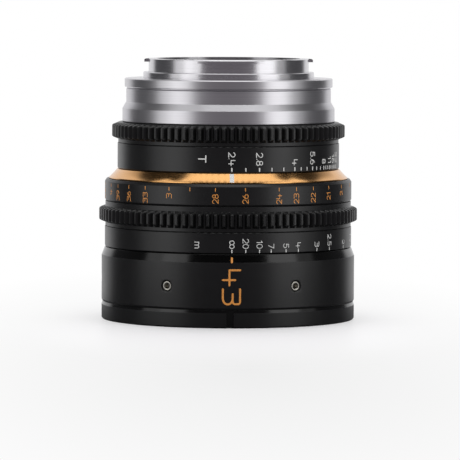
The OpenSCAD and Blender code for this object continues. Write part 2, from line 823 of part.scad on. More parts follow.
// Tube of the lens block with the web that holds the front cell and the iris
module lens_carrier() {
  color("gray")
    difference() {
      union() {
        tube(carrier_bore_r, carrier_r, carrier_z0, carrier_z1);
        tube(cell_neck_r + fit_clear, carrier_bore_r + 0.5, web_z0, web_z1);
      }
      for (i = [0 : follower_count - 1])
        spoke(follower_turn + 360 / follower_count * i, follower_z, carrier_bore_r - past,
              carrier_r + past, 1.6 + 2 * fit_clear);
      ring_of(3, block_screw_r, front)
        disc(block_screw_d / 2 + fit_clear, web_z0 + 0.6, web_z1 + past);
    }
}

module cam_followers() {
  seat = carrier_r + fit_clear;
  color("silver")
    for (i = [0 : follower_count - 1]) {
      a = follower_turn + 360 / follower_count * i;
      union() {
        spoke(a, follower_z, carrier_bore_r + 0.1, seat, 1.6);
        spoke(a, follower_z, seat, main_r - 0.2, shoulder_d);
        spoke(a, follower_z, main_r - 0.2, tip_r1, tip_d);
      }
    }
}

// Conical ring that closes the space round the front element
module front_baffle_ring() {
  out = carrier_r - 0.1;
  plug = carrier_bore_r - fit_clear;
  color("black")
    rotate_extrude()
      polygon([
        [rim_1 + 0.3, v1 + 0.5], [out, baffle_z0], [out, carrier_z0], [plug, carrier_z0],
        [plug, carrier_z0 + 1.5], [plug - 1.5, carrier_z0 + 1.5], [plug - 1.5, cell_z0 - 0.1],
        [rim_1 + 0.3, cell_z0 - 0.1]
      ]);
}

module front_cell() {
  color("dimgray")
    rotate_extrude()
      polygon([
        [bore_1, cell_z0], [cell_r, cell_z0], [cell_r, web_z0], [cell_neck_r, web_z0],
        [cell_neck_r, web_z1 - 0.1], [hollow_4 + 0.2, web_z1 - 0.1],
        [hollow_4 + 0.2, seat_4 + glass_gap], [bore_3, seat_4 + glass_gap], [bore_3, seat_2],
        [bore_2, seat_2], [bore_2, seat_1 + glass_gap], [bore_1, seat_1 + glass_gap]
      ]);
}

module front_retaining_ring() {
  color("black")
    tube(keeper_1_r, rim_1, cell_z0 + 0.2, v1 + sag(curve_1, keeper_1_r) - glass_gap);
}

module front_spacer() {
  color("black")
    tube(front_spacer_r, rim_2, seat_1 + glass_gap,
         v3 + sag(curve_3, front_spacer_r) - glass_gap);
}

module doublet_retaining_ring() {
  seat = v5 + sag(curve_5, keeper_3_r) - glass_gap;
  color("black") tube(keeper_3_r, rim_3, seat - 1.8, seat);
}

module lens_1() {
  color("lightblue") element(v1, curve_1, 0, v2, -curve_2, hollow_1, rim_1);
}

module lens_2() {
  color("lightblue") element(v3, curve_3, 0, v4, curve_4, 0, rim_2);
}

module lens_3() {
  color("lightblue") element(v5, curve_5, 0, v6 - glass_gap, curve_6, 0, rim_3);
}

module lens_4() {
  color("lightblue") element(v6, -curve_6, rim_3, v7, -curve_7, hollow_4, rim_3);
}

// Housing of the iris: a floor with the blade pivots and a wall round the cam ring
module iris_housing() {
  color("dimgray")
    difference() {
      union() {
        tube(stop_r, housing_r1, web_z1, floor_z1);
        tube(housing_r0, housing_r1, floor_z1 - 0.5, housing_z1);
      }
      ring_of(blades, pivot_r, 0)
        disc(pivot_pin_d / 2 + fit_clear, web_z1 + 0.3, floor_z1 + past);
      ring_of(3, block_screw_r, front)
        disc(block_screw_d / 2 + fit_clear, web_z1 - past, housing_z1 + past);
    }
}

module rear_cell() {
  half_tongue = asin((tongue_w / 2 + 0.3) / tongue_r0);
  color("dimgray")
    difference() {
      union() {
        rotate_extrude()
          polygon([
            [hollow_5 + 0.2, housing_z1], [housing_r1, housing_z1], [housing_r1, carrier_z1],
            [rear_tube_r, carrier_z1], [rear_tube_r, rear_neck_z], [rear_neck_r, rear_neck_z],
            [rear_neck_r, rear_z1], [bore_8, rear_z1], [bore_8, seat_8], [bore_7, seat_8],
            [bore_7, seat_7], [bore_5, seat_7], [bore_5, seat_5 - glass_gap],
            [hollow_5 + 0.2, seat_5 - glass_gap]
          ]);
      }
      arc_block(tongue_r0 - 0.2, tongue_r1 + 0.2, housing_z1 - past, carrier_z1 + past,
                drive_turn - iris_throw - half_tongue, iris_throw + 2 * half_tongue);
      ring_of(3, block_screw_r, front)
        flat_screw_hole(block_screw_d, 3.2, housing_z1 - past, carrier_z1);
    }
}

module rear_cell_screws() {
  color("gray")
    ring_of(3, block_screw_r, front)
      flat_screw(block_screw_d, 3.2, web_z0 + 0.8, carrier_z1 - 2 * fit_clear);
}

module lens_5() {
  color("lightblue")
    element(v8, -curve_8, hollow_5, v9 - glass_gap, -curve_9, rim_5, rim_5);
}

module lens_6() {
  color("lightblue") element(v9, curve_9, 0, v10, curve_10, 0, rim_5);
}

module lens_7() {
  color("lightblue") element(v11, -curve_11, rim_7, v12, curve_12, 0, rim_7);
}

module lens_8() {
  color("lightblue") element(v13, curve_13, 0, v14, curve_14, 0, rim_8);
}

module rear_spacer_1() {
  color("black")
    tube(spacer_1_r, rim_5, v10 - sag(curve_10, spacer_1_r) + glass_gap,
         v11 - sag(curve_11, rim_5) - glass_gap);
}

module rear_spacer_2() {
  color("black")
    tube(spacer_2_r, rim_7, v12 - sag(curve_12, spacer_2_r) + glass_gap,
         v13 + sag(curve_13, spacer_2_r) - glass_gap);
}

module rear_retaining_ring() {
  color("black") tube(keeper_8_r, rim_8, keeper_8_z0, rear_z1 - 0.6);
}

// Cam ring of the iris: one curved slot for each blade, and the tongue for the drive pin
module iris_cam_ring() {
  a = peg_in_cam(0);
  b = peg_in_cam(blade_turn / 2);
  c = peg_in_cam(blade_turn);
  centre = circle_centre(a, b, c);
  r = norm(a - centre);
  start = atan2(a[1] - centre[1], a[0] - centre[0]);
  finish = atan2(c[1] - centre[1], c[0] - centre[0]);
  span = finish > start ? finish - start : finish - start + 360;
  slot_end = asin(cam_slot_w / 2 / r);
  half_tongue = asin(tongue_w / 2 / tongue_r0);
  color("peru")
    difference() {
      union() {
        tube(cam_r0, cam_r1, cam_z0, cam_z1);
        arc_block(tongue_r0, tongue_r1, cam_z1 - 0.5, tongue_z1,
                  drive_turn - half_tongue, 2 * half_tongue);
      }
      for (i = [0 : blades - 1])
        rotate([0, 0, 360 / blades * i]) {
          translate([centre[0], centre[1], 0])
            arc_block(r - cam_slot_w / 2, r + cam_slot_w / 2, cam_z0 - past,
                      cam_z0 + cam_slot_d, start - slot_end, span + 2 * slot_end);
        }
      rotate([0, 0, drive_turn])
        translate([tongue_r0 - past, -drive_pin_d / 2 - fit_clear, tongue_slot_z0])
          cube([tongue_t + 2 * past, drive_pin_d + 2 * fit_clear, tongue_z1]);
    }
}

// One blade of the iris on its own level: a curved leaf, an ear, a pivot pin and a drive pin
module blade(i) {
  z0 = blade_z0 + i * blade_step;
  z1 = z0 + blade_t;
  peg = drive_peg(0);
  color("darkslategray")
    rotate([0, 0, 360 / blades * i]) {
      arc_block(iris_open_r, blade_out_r, z0, z1, -blade_span, blade_span);
      translate([blade_out_r - blade_lap, -blade_ear, z0])
        cube([pivot_r - blade_out_r + blade_lap, 2 * blade_ear, blade_t]);
      translate([pivot_r, 0, 0]) disc(blade_ear, z0, z1);
      translate([pivot_r, 0, z0])
        rotate([0, 0, -90 + blade_turn / 2])
          translate([0, -lever_w / 2, 0]) cube([lever, lever_w, blade_t]);
      translate([peg[0], peg[1], 0]) disc(lever_w / 2, z0, z1);
      translate([pivot_r, 0, 0]) disc(pivot_pin_d / 2, web_z1 + pivot_sink, z1);
      translate([peg[0], peg[1], 0]) disc(drive_peg_d / 2, z0, cam_z0 + cam_slot_d - peg_short);
    }
}

module iris_blade_1() { blade(0); }
module iris_blade_2() { blade(1); }
module iris_blade_3() { blade(2); }
module iris_blade_4() { blade(3); }
module iris_blade_5() { blade(4); }
module iris_blade_6() { blade(5); }
module iris_blade_7() { blade(6); }
module iris_blade_8() { blade(7); }
module iris_blade_9() { blade(8); }

front_ring();
front_barrel();
front_barrel_set_screws();
main_barrel();
index_ring();
focus_stop_screw();
mount_base();
mount_base_screws();
mount_shim();
bayonet_mount();
bayonet_screws();
rear_baffle();
focus_sleeve();
metre_scale_ring();
focus_gear_ring();
feet_scale_ring();
iris_sleeve();
iris_scale_ring();
iris_gear_ring();
iris_drive_pin();
lens_carrier();
cam_followers();
front_baffle_ring();
front_cell();
front_retaining_ring();
front_spacer();
doublet_retaining_ring();
lens_1();
lens_2();
lens_3();
lens_4();
iris_housing();
rear_cell();
rear_cell_screws();
lens_5();
lens_6();
lens_7();
lens_8();
rear_spacer_1();
rear_spacer_2();
rear_retaining_ring();
iris_cam_ring();
iris_blade_1();
iris_blade_2();
iris_blade_3();
iris_blade_4();
iris_blade_5();
iris_blade_6();
iris_blade_7();
iris_blade_8();
iris_blade_9();
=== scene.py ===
"""Cinema prime lens standing on its front ring, rear mount up, in a plain white studio.

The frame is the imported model: metres, Z along the optical axis from the front rim to the camera
mount, and the index line towards -Y. Sizes below are in millimetres and turned to metres by MM.
"""
import json

import bmesh
import bpy
import numpy as np
from mathutils import Matrix


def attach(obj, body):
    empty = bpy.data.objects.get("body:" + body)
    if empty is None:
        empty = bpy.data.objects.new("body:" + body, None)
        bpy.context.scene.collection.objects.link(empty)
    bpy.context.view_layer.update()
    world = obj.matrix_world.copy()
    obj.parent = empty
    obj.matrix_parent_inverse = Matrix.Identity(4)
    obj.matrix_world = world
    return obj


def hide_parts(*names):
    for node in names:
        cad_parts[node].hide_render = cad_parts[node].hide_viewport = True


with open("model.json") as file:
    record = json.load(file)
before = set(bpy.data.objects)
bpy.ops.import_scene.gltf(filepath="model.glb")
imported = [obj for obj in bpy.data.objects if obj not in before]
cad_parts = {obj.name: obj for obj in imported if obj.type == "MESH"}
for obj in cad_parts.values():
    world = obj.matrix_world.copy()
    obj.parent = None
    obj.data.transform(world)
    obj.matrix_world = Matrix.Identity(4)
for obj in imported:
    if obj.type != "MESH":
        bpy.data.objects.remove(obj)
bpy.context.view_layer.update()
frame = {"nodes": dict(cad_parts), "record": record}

# Camera: a long telephoto on a low tripod, 1.3 m in front of the lens and just above its mount,
# so that the rings show as very flat ellipses. The index line stands a little right of the middle.
MM = 0.001
CAMERA_DISTANCE = 1300.0
CAMERA_HEIGHT = 109.8
CAMERA_AZIMUTH = np.radians(-1.8)
CAMERA_TILT = np.radians(3.606)
CAMERA_PAN = np.radians(-0.028)
CAMERA_ROLL = np.radians(0.25)
FOCAL_PIXELS, FRAME_PIXELS, SENSOR = 4110.0, 460.0, 36.0
camera_data = bpy.data.cameras.new("studio_camera")
camera_data.sensor_width = SENSOR
camera_data.lens = SENSOR * FOCAL_PIXELS / FRAME_PIXELS
camera_data.clip_start, camera_data.clip_end = 0.05, 20.0
camera = bpy.data.objects.new("studio_camera", camera_data)
camera.matrix_world = (
    Matrix.Rotation(CAMERA_AZIMUTH, 4, "Z")
    @ Matrix.Translation((0.0, -CAMERA_DISTANCE * MM, CAMERA_HEIGHT * MM))
    @ Matrix.Rotation(CAMERA_PAN, 4, "Z")
    @ Matrix.Rotation(np.pi / 2 - CAMERA_TILT, 4, "X")
    @ Matrix.Rotation(CAMERA_ROLL, 4, "Z")
)
bpy.context.scene.collection.objects.link(camera)
bpy.context.scene.camera = camera
bpy.context.scene.view_settings.view_transform = "Standard"


# Studio table: a sheet of pale laminate under the lens, which takes its soft contact shadow. It
# pales with the distance and runs out into a wide white floor, which only the camera sees. A
# painted reflection of the lens dims the floor in front of it. What the lens itself sees of the
# sheet is grey.
def linear(hex_text):
    """sRGB hex to linear RGBA: ((c + 0.055) / 1.055) ** 2.4 above 0.04045, else c / 12.92."""
    c = np.array([int(hex_text[i:i + 2], 16) for i in (1, 3, 5)]) / 255
    c = np.where(c > 0.04045, ((c + 0.055) / 1.055) ** 2.4, c / 12.92)
    return (*c.tolist(), 1.0)


def add_node(tree, kind, sockets=(), **settings):
    """Adds a node: settings are its properties, sockets its inputs, as values or as links."""
    made = tree.nodes.new(kind)
    for key, value in settings.items():
        setattr(made, key, value)
    for key, value in dict(sockets).items():
        if isinstance(value, bpy.types.NodeSocket):
            tree.links.new(value, made.inputs[key])
        else:
            made.inputs[key].default_value = value
    return made


def new_material(name):
    """An empty node material and its tree."""
    material = bpy.data.materials.new(name)
    material.use_nodes = True
    material.node_tree.nodes.clear()
    return material, material.node_tree


TABLE_REACH, TABLE_AHEAD, TABLE_NEAR, TABLE_FAR = 130.0, 60.0, 15.0, 140.0
TABLE_TO_CAMERA, TABLE_TO_LENS = "#f4f3f5", "#58585a"
SHADOW_CENTRE, SHADOW_STRETCH = (0.0, -30.0 * MM, 0.0), (1.8, 1.0, 1.0)
# painted reflection of the lens: the floor is dimmest in front of it, and white from WHITE_FROM
# on, which is sooner sideways
FLOOR_REACH, FLOOR_DROP, WHITE_FROM = 620.0, 0.1, 400.0
LENS_REFLECTION_DIM, LENS_REFLECTION_CENTRE, LENS_REFLECTION_STRETCH = 0.86, (0.0, -170.0 * MM, 0.0), (3.2, 1.0, 1.0)


def distance_from(tree, where, centre, stretch):
    """Distance from a centre, once each coordinate is multiplied by its stretch."""
    off = add_node(tree, "ShaderNodeVectorMath", {0: where.outputs["Object"], 1: stretch},
                   operation="MULTIPLY")
    return add_node(tree, "ShaderNodeVectorMath", {0: off.outputs["Vector"], 1: centre},
                    operation="DISTANCE").outputs["Value"]


def floor_glow_with_painted_reflection(tree, where):
    """What the camera sees of the floor: a white that is dimmed in front of the lens by a painted
    reflection of it, and pales in a straight line with the distance from there."""
    white = add_node(tree, "ShaderNodeMapRange", {
        "Value": distance_from(tree, where, LENS_REFLECTION_CENTRE, LENS_REFLECTION_STRETCH),
        "From Max": WHITE_FROM * MM, "To Min": LENS_REFLECTION_DIM, "To Max": 1.0})
    return add_node(tree, "ShaderNodeEmission", {
        "Color": (1, 1, 1, 1), "Strength": white.outputs["Result"]})


def disc(name, radius, ahead, height, material):
    """A round sheet of the floor, with its middle some way ahead of the lens."""
    turn = np.radians(np.arange(0.0, 360.0, 5.0))
    rim = MM * np.stack([radius * np.cos(turn), radius * np.sin(turn) - ahead,
                         np.full_like(turn, height)], -1)
    mesh = bpy.data.meshes.new(name)
    mesh.from_pydata(rim.tolist(), [], [list(range(len(turn)))])
    mesh.materials.append(material)
    sheet = bpy.data.objects.new(name, mesh)
    bpy.context.scene.collection.objects.link(sheet)
    return sheet


table_white, tree = new_material("white_laminate_table")
where = add_node(tree, "ShaderNodeTexCoord")
fade = add_node(tree, "ShaderNodeMapRange", {
    "Value": distance_from(tree, where, SHADOW_CENTRE, SHADOW_STRETCH),
    "From Min": TABLE_NEAR * MM, "From Max": TABLE_FAR * MM,
}, interpolation_type="SMOOTHSTEP")
path = add_node(tree, "ShaderNodeLightPath")
fade = add_node(tree, "ShaderNodeMath", {
    0: fade.outputs["Result"], 1: path.outputs["Is Camera Ray"]}, operation="MULTIPLY")
shade = add_node(tree, "ShaderNodeMix", {
    0: path.outputs["Is Camera Ray"], 6: linear(TABLE_TO_LENS), 7: linear(TABLE_TO_CAMERA)},
    data_type="RGBA")
sheet = add_node(tree, "ShaderNodeBsdfPrincipled", {
    "Base Color": shade.outputs[2], "Roughness": 0.4, "Specular IOR Level": 0.08})
glow = floor_glow_with_painted_reflection(tree, where)
blend = add_node(tree, "ShaderNodeMixShader", {
    0: fade.outputs[0], 1: sheet.outputs["BSDF"], 2: glow.outputs["Emission"]})
add_node(tree, "ShaderNodeOutputMaterial", {"Surface": blend.outputs["Shader"]})
disc("table", TABLE_REACH, TABLE_AHEAD, 0.0, table_white)
floor_white, tree = new_material("white_floor")
glow = floor_glow_with_painted_reflection(tree, add_node(tree, "ShaderNodeTexCoord"))
add_node(tree, "ShaderNodeOutputMaterial", {"Surface": glow.outputs["Emission"]})
floor = disc("floor", FLOOR_REACH, 0.0, -FLOOR_DROP, floor_white)
floor.visible_diffuse = floor.visible_glossy = False
floor.visible_transmission = floor.visible_shadow = False

# Studio light: an even white surround for matt surfaces, a large panel overhead with a small wing
# behind it on each side, a tall softbox to the left and right with some spill, and a dim room with
# a white far wall, which metal and glass mirror.
SURROUND = (0.66, 0.66, 0.66)
# place from the camera's end of the room (0) to the far wall (1), and the light that metal sees
ROOM = ((0.0, (0.160, 0.147, 0.162)), (0.10, (0.160, 0.147, 0.162)), (0.19, (0.070, 0.070, 0.074)),
        (0.84, (0.070, 0.070, 0.074)), (0.89, (0.92, 0.92, 0.93)), (1.0, (0.92, 0.92, 0.93)))
# heights on the unit sphere: over STEEP the far wall leans in by LEAN, and over LOFT the room is
# dimmed to LOFT_DIM, apart from what lies BEHIND the lens
STEEP, LEAN = (0.42, 0.6), 0.08
LOFT, LOFT_DIM, BEHIND = (0.3, 0.55), 0.3, (0.35, 0.55)
world = bpy.data.worlds.new("studio")
world.use_nodes = True
tree = world.node_tree
tree.nodes.clear()
path = add_node(tree, "ShaderNodeLightPath")
where = add_node(tree, "ShaderNodeTexCoord")
split = add_node(tree, "ShaderNodeSeparateXYZ", {0: where.outputs["Generated"]})
depth = add_node(tree, "ShaderNodeMapRange", {"Value": split.outputs["Y"], "From Min": -1.0})
higher = add_node(tree, "ShaderNodeMapRange", {
    "Value": split.outputs["Z"], "From Min": STEEP[0], "From Max": STEEP[1], "To Max": LEAN})
depth = add_node(tree, "ShaderNodeMath", {
    0: depth.outputs["Result"], 1: higher.outputs["Result"]}, operation="ADD")
room = add_node(tree, "ShaderNodeValToRGB", {0: depth.outputs["Value"]})
stops = room.color_ramp.elements
stops[0].color, stops[-1].color = (*ROOM[0][1], 1.0), (*ROOM[-1][1], 1.0)
for place_in_room, light in ROOM[1:-1]:
    stops.new(place_in_room).color = (*light, 1.0)
dimmer = add_node(tree, "ShaderNodeMapRange", {
    "Value": split.outputs["Z"], "From Min": LOFT[0], "From Max": LOFT[1],
    "To Min": 1.0, "To Max": LOFT_DIM})
behind = add_node(tree, "ShaderNodeMapRange", {
    "Value": split.outputs["Y"], "From Min": BEHIND[0], "From Max": BEHIND[1]})
dimmer = add_node(tree, "ShaderNodeMath", {
    0: dimmer.outputs["Result"], 1: behind.outputs["Result"]}, operation="MAXIMUM")
room = add_node(tree, "ShaderNodeVectorMath", {
    0: room.outputs["Color"], "Scale": dimmer.outputs["Value"]}, operation="SCALE")
mirrored = add_node(tree, "ShaderNodeMath", {
    0: path.outputs["Is Glossy Ray"], 1: path.outputs["Is Transmission Ray"]}, operation="MAXIMUM")
matt_or_mirror = add_node(tree, "ShaderNodeMix", {
    0: mirrored.outputs["Value"], 6: (*SURROUND, 1.0), 7: room.outputs["Vector"]}, data_type="RGBA")
light = add_node(tree, "ShaderNodeMix", {
    0: path.outputs["Is Camera Ray"], 6: matt_or_mirror.outputs[2], 7: (1, 1, 1, 1)},
    data_type="RGBA")
backdrop = add_node(tree, "ShaderNodeBackground", {"Color": light.outputs[2], "Strength": 1.0})
add_node(tree, "ShaderNodeOutputWorld", {"Surface": backdrop.outputs["Background"]})
bpy.context.scene.world = world

# name, azimuth from the camera, width, radiance: all stand as far away and are as tall
SOFTBOX_AWAY, SOFTBOX_UP, SOFTBOX_TALL = 900.0, 410.0, 1500.0
SOFTBOXES = (
    ("left_softbox", -46.0, 189.0, 1.16), ("left_softbox_edge", -59.0, 221.0, 1.40),
    ("left_spill", -75.0, 285.0, 0.85), ("right_softbox", 48.0, 253.0, 1.45),
    ("right_softbox_edge", 63.0, 221.0, 1.50), ("right_spill", 79.0, 285.0, 0.42),
)
to_camera = Matrix.Rotation(CAMERA_AZIMUTH, 4, "Z")
lamps = [(name, to_camera @ Matrix.Rotation(np.radians(azimuth), 4, "Z")
          @ Matrix.Translation((0.0, -SOFTBOX_AWAY * MM, SOFTBOX_UP * MM))
          @ Matrix.Rotation(np.pi / 2, 4, "X"),
          width, SOFTBOX_TALL, radiance) for name, azimuth, width, radiance in SOFTBOXES]
# name, middle, width, depth, radiance: these hang level above the lens
OVERHEAD = (
    ("overhead_panel", (30.0, -80.0, 870.0), 780.0, 1040.0, 1.45),
    ("overhead_wing_left", (-420.0, 360.0, 870.0), 130.0, 340.0, 1.45),
    ("overhead_wing_right", (485.0, 360.0, 870.0), 130.0, 340.0, 1.45),
)
lamps += [(name, to_camera @ Matrix.Translation(MM * np.array(middle)), width, deep, radiance)
          for name, middle, width, deep, radiance in OVERHEAD]
for name, matrix, width, height, radiance in lamps:
    lamp = bpy.data.lights.new(name, "AREA")
    lamp.shape = "RECTANGLE"
    lamp.size, lamp.size_y = width * MM, height * MM
    lamp.energy = radiance * np.pi * lamp.size * lamp.size_y
    softbox = bpy.data.objects.new(name, lamp)
    softbox.matrix_world = matrix
    softbox.visible_camera = False
    bpy.context.scene.collection.objects.link(softbox)

# Front ring: black anodised aluminium turned on a lathe, with the filter thread inside its rim,
# a spanner slot across its outside, and a spigot that screws into the front barrel.
FRONT = np.radians(-90.0)


def rounded(corners, steps=4, straight=1.55, most=0.4, beyond=1.2):
    """Profile with rounded corners: a corner (r, z, fillet) becomes points on an arc that touches
    both its sides and takes up at most a share of them, with one more point beyond each end so
    that the sides shade flat. A corner that is all but straight stays."""
    p = np.array([c[:2] for c in corners], float)
    out = []
    for i, corner in enumerate(corners):
        size = corner[2] if len(corner) > 2 else 0.0
        back, ahead = p[i - 1] - p[i], p[(i + 1) % len(p)] - p[i]
        length = min(np.linalg.norm(back), np.linalg.norm(ahead))
        back, ahead = back / np.linalg.norm(back), ahead / np.linalg.norm(ahead)
        half = np.arccos(np.clip(back @ ahead, -1, 1)) / 2
        if size == 0.0 or half > straight:
            out.append(p[i][None])
            continue
        reach = min(size / np.tan(half), most * length)
        size = reach * np.tan(half)
        bisector = (back + ahead) / np.linalg.norm(back + ahead)
        centre = p[i] + bisector * size / np.sin(half)
        t = np.linspace(-1, 1, steps + 1)[:, None] * (np.pi / 2 - half)
        side = (ahead - back) / np.linalg.norm(ahead - back)
        arc = centre + size * (np.sin(t) * side - np.cos(t) * bisector)
        out += [(p[i] + back * reach * beyond)[None], arc, (p[i] + ahead * reach * beyond)[None]]
    return np.vstack(out)


def grid_mesh(name, points, wrap_rows=True, wrap_columns=True, skip=None):
    """Mesh of a grid of points, a face for each cell, closed round in the ways asked for."""
    rows, columns = points.shape[:2]
    index = np.arange(rows * columns).reshape(rows, columns)
    down, right = np.roll(index, -1, 0), np.roll(index, -1, 1)
    cells = np.stack([index, right, np.roll(right, -1, 0), down], -1)
    keep = np.ones((rows, columns), bool)
    keep[-1] &= wrap_rows
    keep[:, -1] &= wrap_columns
    if skip is not None:
        keep &= ~skip
    mesh = bpy.data.meshes.new(name)
    mesh.from_pydata((points.reshape(-1, 3) * MM).tolist(), [], cells[keep].tolist())
    return mesh


def on_circle(radius, angle, height):
    """Points at a radius, an angle about the axis and a height along it."""
    shape = np.broadcast(radius, angle, height).shape
    return np.stack([np.broadcast_to(radius * np.cos(angle), shape),
                     np.broadcast_to(radius * np.sin(angle), shape),
                     np.broadcast_to(height, shape)], -1)


WELD, SHARP = 1e-8, np.radians(34)


def place(mesh, body, material, slot, *nodes):
    """Cleans a mesh, makes it a piece that rides on a body, and hides the nodes it stands for."""
    shape = bmesh.new()
    shape.from_mesh(mesh)
    bmesh.ops.remove_doubles(shape, verts=shape.verts, dist=WELD)
    bmesh.ops.dissolve_degenerate(shape, edges=shape.edges, dist=WELD)
    bmesh.ops.recalc_face_normals(shape, faces=shape.faces)
    shape.to_mesh(mesh)
    shape.free()
    mesh.shade_smooth()
    mesh.set_sharp_from_angle(angle=SHARP)
    mesh.materials.append(material)
    piece = bpy.data.objects.new(mesh.name, mesh)
    bpy.context.scene.collection.objects.link(piece)
    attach(piece, body)
    if nodes:
        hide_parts(*nodes)
    return piece


# Black anodised aluminium, bead blasted before the bath: a dyed oxide skin that is nearly black,
# with a satin gloss, a faint mottle and a grit that breaks its highlights. The grit is drawn
# coarser than it is, so that it shows.
GRIT, MOTTLE = 0.16, 3.0
# heights where it is turned bright before the bath, on the two cones of the front: (from, 1 or 0)
BRIGHT_TURNED, BRIGHT_SPAN = ((4.65, 1), (5.6, 0), (20.15, 1), (22.8, 0)), 100.0
# painted shade: inside this radius and below this height, in the front ring's slot and thread, the
# black is made as deep and glossy as on the turned cones, to stand for the shadow in the recess
SLOT_SHADE_R, SLOT_SHADE_TOP = 39.5, 5.65
AXIS, FLAT = (0.0, 0.0, 0.0), (1.0, 1.0, 0.0)
black_anodised, tree = new_material("black_anodised_aluminium")
where = add_node(tree, "ShaderNodeTexCoord")
grit = add_node(tree, "ShaderNodeTexNoise", {
    "Vector": where.outputs["Object"], "Scale": 1 / (GRIT * MM), "Detail": 2.0})
mottle = add_node(tree, "ShaderNodeTexNoise", {
    "Vector": where.outputs["Object"], "Scale": 1 / (MOTTLE * MM), "Detail": 3.0})
split = add_node(tree, "ShaderNodeSeparateXYZ", {0: where.outputs["Object"]})
height = add_node(tree, "ShaderNodeMapRange", {
    "Value": split.outputs["Z"], "From Max": BRIGHT_SPAN * MM})
turned_and_painted_shade = add_node(tree, "ShaderNodeValToRGB", {0: height.outputs["Result"]})
turned_and_painted_shade.color_ramp.interpolation = "CONSTANT"
stops = turned_and_painted_shade.color_ramp.elements
stops[0].color, stops[-1].color = (0, 0, 0, 1), (0, 0, 0, 1)
for level, on in BRIGHT_TURNED:
    stops.new(level / BRIGHT_SPAN).color = (on, on, on, 1)
# painted shade: a mask of the front ring's slot and thread, which are darkened as if in shadow
within = add_node(tree, "ShaderNodeMath", {
    0: distance_from(tree, where, AXIS, FLAT), 1: SLOT_SHADE_R * MM}, operation="LESS_THAN")
below = add_node(tree, "ShaderNodeMath", {
    0: split.outputs["Z"], 1: SLOT_SHADE_TOP * MM}, operation="LESS_THAN")
painted_slot_shade = add_node(tree, "ShaderNodeMath", {
    0: within.outputs[0], 1: below.outputs[0]}, operation="MULTIPLY")
# the turned cones and the painted shade of the slot and thread take the same deep, glossy black
turned_and_painted_shade = add_node(tree, "ShaderNodeMath", {
    0: turned_and_painted_shade.outputs["Color"], 1: painted_slot_shade.outputs[0]}, operation="MAXIMUM")
shade = add_node(tree, "ShaderNodeMix", {
    0: mottle.outputs[0], 6: linear("#0b0b0c"), 7: linear("#111112")}, data_type="RGBA")
shade = add_node(tree, "ShaderNodeMix", {
    0: turned_and_painted_shade.outputs[0], 6: shade.outputs[2], 7: linear("#030303")}, data_type="RGBA")
gloss = add_node(tree, "ShaderNodeMapRange", {
    "Value": mottle.outputs[0], "To Min": 0.30, "To Max": 0.37})
gloss = add_node(tree, "ShaderNodeMix", {
    0: turned_and_painted_shade.outputs[0], 2: gloss.outputs["Result"], 3: 0.15})
bump = add_node(tree, "ShaderNodeBump", {
    "Height": grit.outputs[0], "Strength": 0.08, "Distance": 0.02 * MM})
skin = add_node(tree, "ShaderNodeBsdfPrincipled", {
    "Base Color": shade.outputs[2], "Roughness": gloss.outputs[0], "IOR": 1.5,
    "Normal": bump.outputs["Normal"]})
add_node(tree, "ShaderNodeOutputMaterial", {"Surface": skin.outputs["BSDF"]})

FRONT_R, FRONT_RING_TOP = 40.0, 5.6
SPIGOT_R, SPIGOT_BORE, SPIGOT_TOP, LIP_BORE, LIP_TOP = 38.044, 36.444, 8.5, 33.65, 6.4
THREAD_MINOR, THREAD_MAJOR, THREAD_PITCH, THREAD_Z0, THREAD_Z1 = 38.094, 38.46, 0.75, 0.3, 4.4
THREAD_ROWS, THREAD_ENDS, RING_COLUMNS = 65, 0.3, 238
SLOT_TURN, SLOT_WIDTH, SLOT_FLOOR = np.radians(-0.7), 2.3, 39.1
outside = rounded([
    (THREAD_MINOR, THREAD_Z0), (38.394, 0.0, 0.05), (39.6, 0.0, 0.12), (FRONT_R, 0.4, 0.12),
    (FRONT_R, 4.6, 0.3), (39.7, FRONT_RING_TOP, 0.1), (SPIGOT_R, FRONT_RING_TOP),
    (SPIGOT_R, SPIGOT_TOP, 0.1), (SPIGOT_BORE, SPIGOT_TOP, 0.1), (SPIGOT_BORE, LIP_TOP),
    (LIP_BORE, LIP_TOP, 0.15), (LIP_BORE, THREAD_Z1, 0.15), (THREAD_MINOR, THREAD_Z1)])
thread_rows = np.linspace(THREAD_Z1, THREAD_Z0, THREAD_ROWS + 2)[1:-1]
profile = np.vstack([outside, np.stack([np.full(THREAD_ROWS, THREAD_MINOR), thread_rows], -1)])
slot_half = np.arcsin(SLOT_WIDTH / 2 / FRONT_R)
slot_edges = SLOT_TURN + slot_half * np.array([-1.002, -0.998, -0.4, 0.4, 0.998, 1.002])
around = np.linspace(slot_edges[-1], slot_edges[0] + 2 * np.pi, RING_COLUMNS + 2)[1:-1]
angle = FRONT + np.concatenate([slot_edges, around])[None]
radius, height = profile[:, :1], profile[:, 1:]
in_slot = np.abs(angle - FRONT - SLOT_TURN) < slot_half
radius = np.where(in_slot & (radius > SLOT_FLOOR), SLOT_FLOOR, radius)
# thread: radius = minor + depth * triangle wave of (height / pitch - turns), clipped to flat crests
# and roots, and faded at both ends
turns = (height / THREAD_PITCH - angle / (2 * np.pi)) % 1.0
wave = np.clip(1.6 - 3.2 * np.abs(2 * turns - 1), -1, 1) * 0.5 + 0.5
ends = np.clip(np.minimum(height - THREAD_Z0, THREAD_Z1 - height) / THREAD_ENDS, 0, 1)
threaded = (np.arange(len(profile)) >= len(outside))[:, None]
radius = radius + threaded * ends * wave * (THREAD_MAJOR - THREAD_MINOR)
place(grid_mesh("front_ring_threaded", on_circle(radius, angle, height)),
      "lens_body", black_anodised, "black_anodised", "front_ring")

# Front barrel: a turned sleeve of the same black aluminium with a straight band for clamp-on
# accessories and a short cone. Six countersunk holes hold the set screws that lock it.
BAND_R, BARREL_TOP, BARREL_CONE, BARREL_BORE, BARREL_STEP = 39.0, 22.75, 20.1, 35.95, 8.6
HOLE_Z, COUNTERSINK_R, HOLE_R, HOLE_DEPTH = 12.7, 1.88, 1.6, 3.6
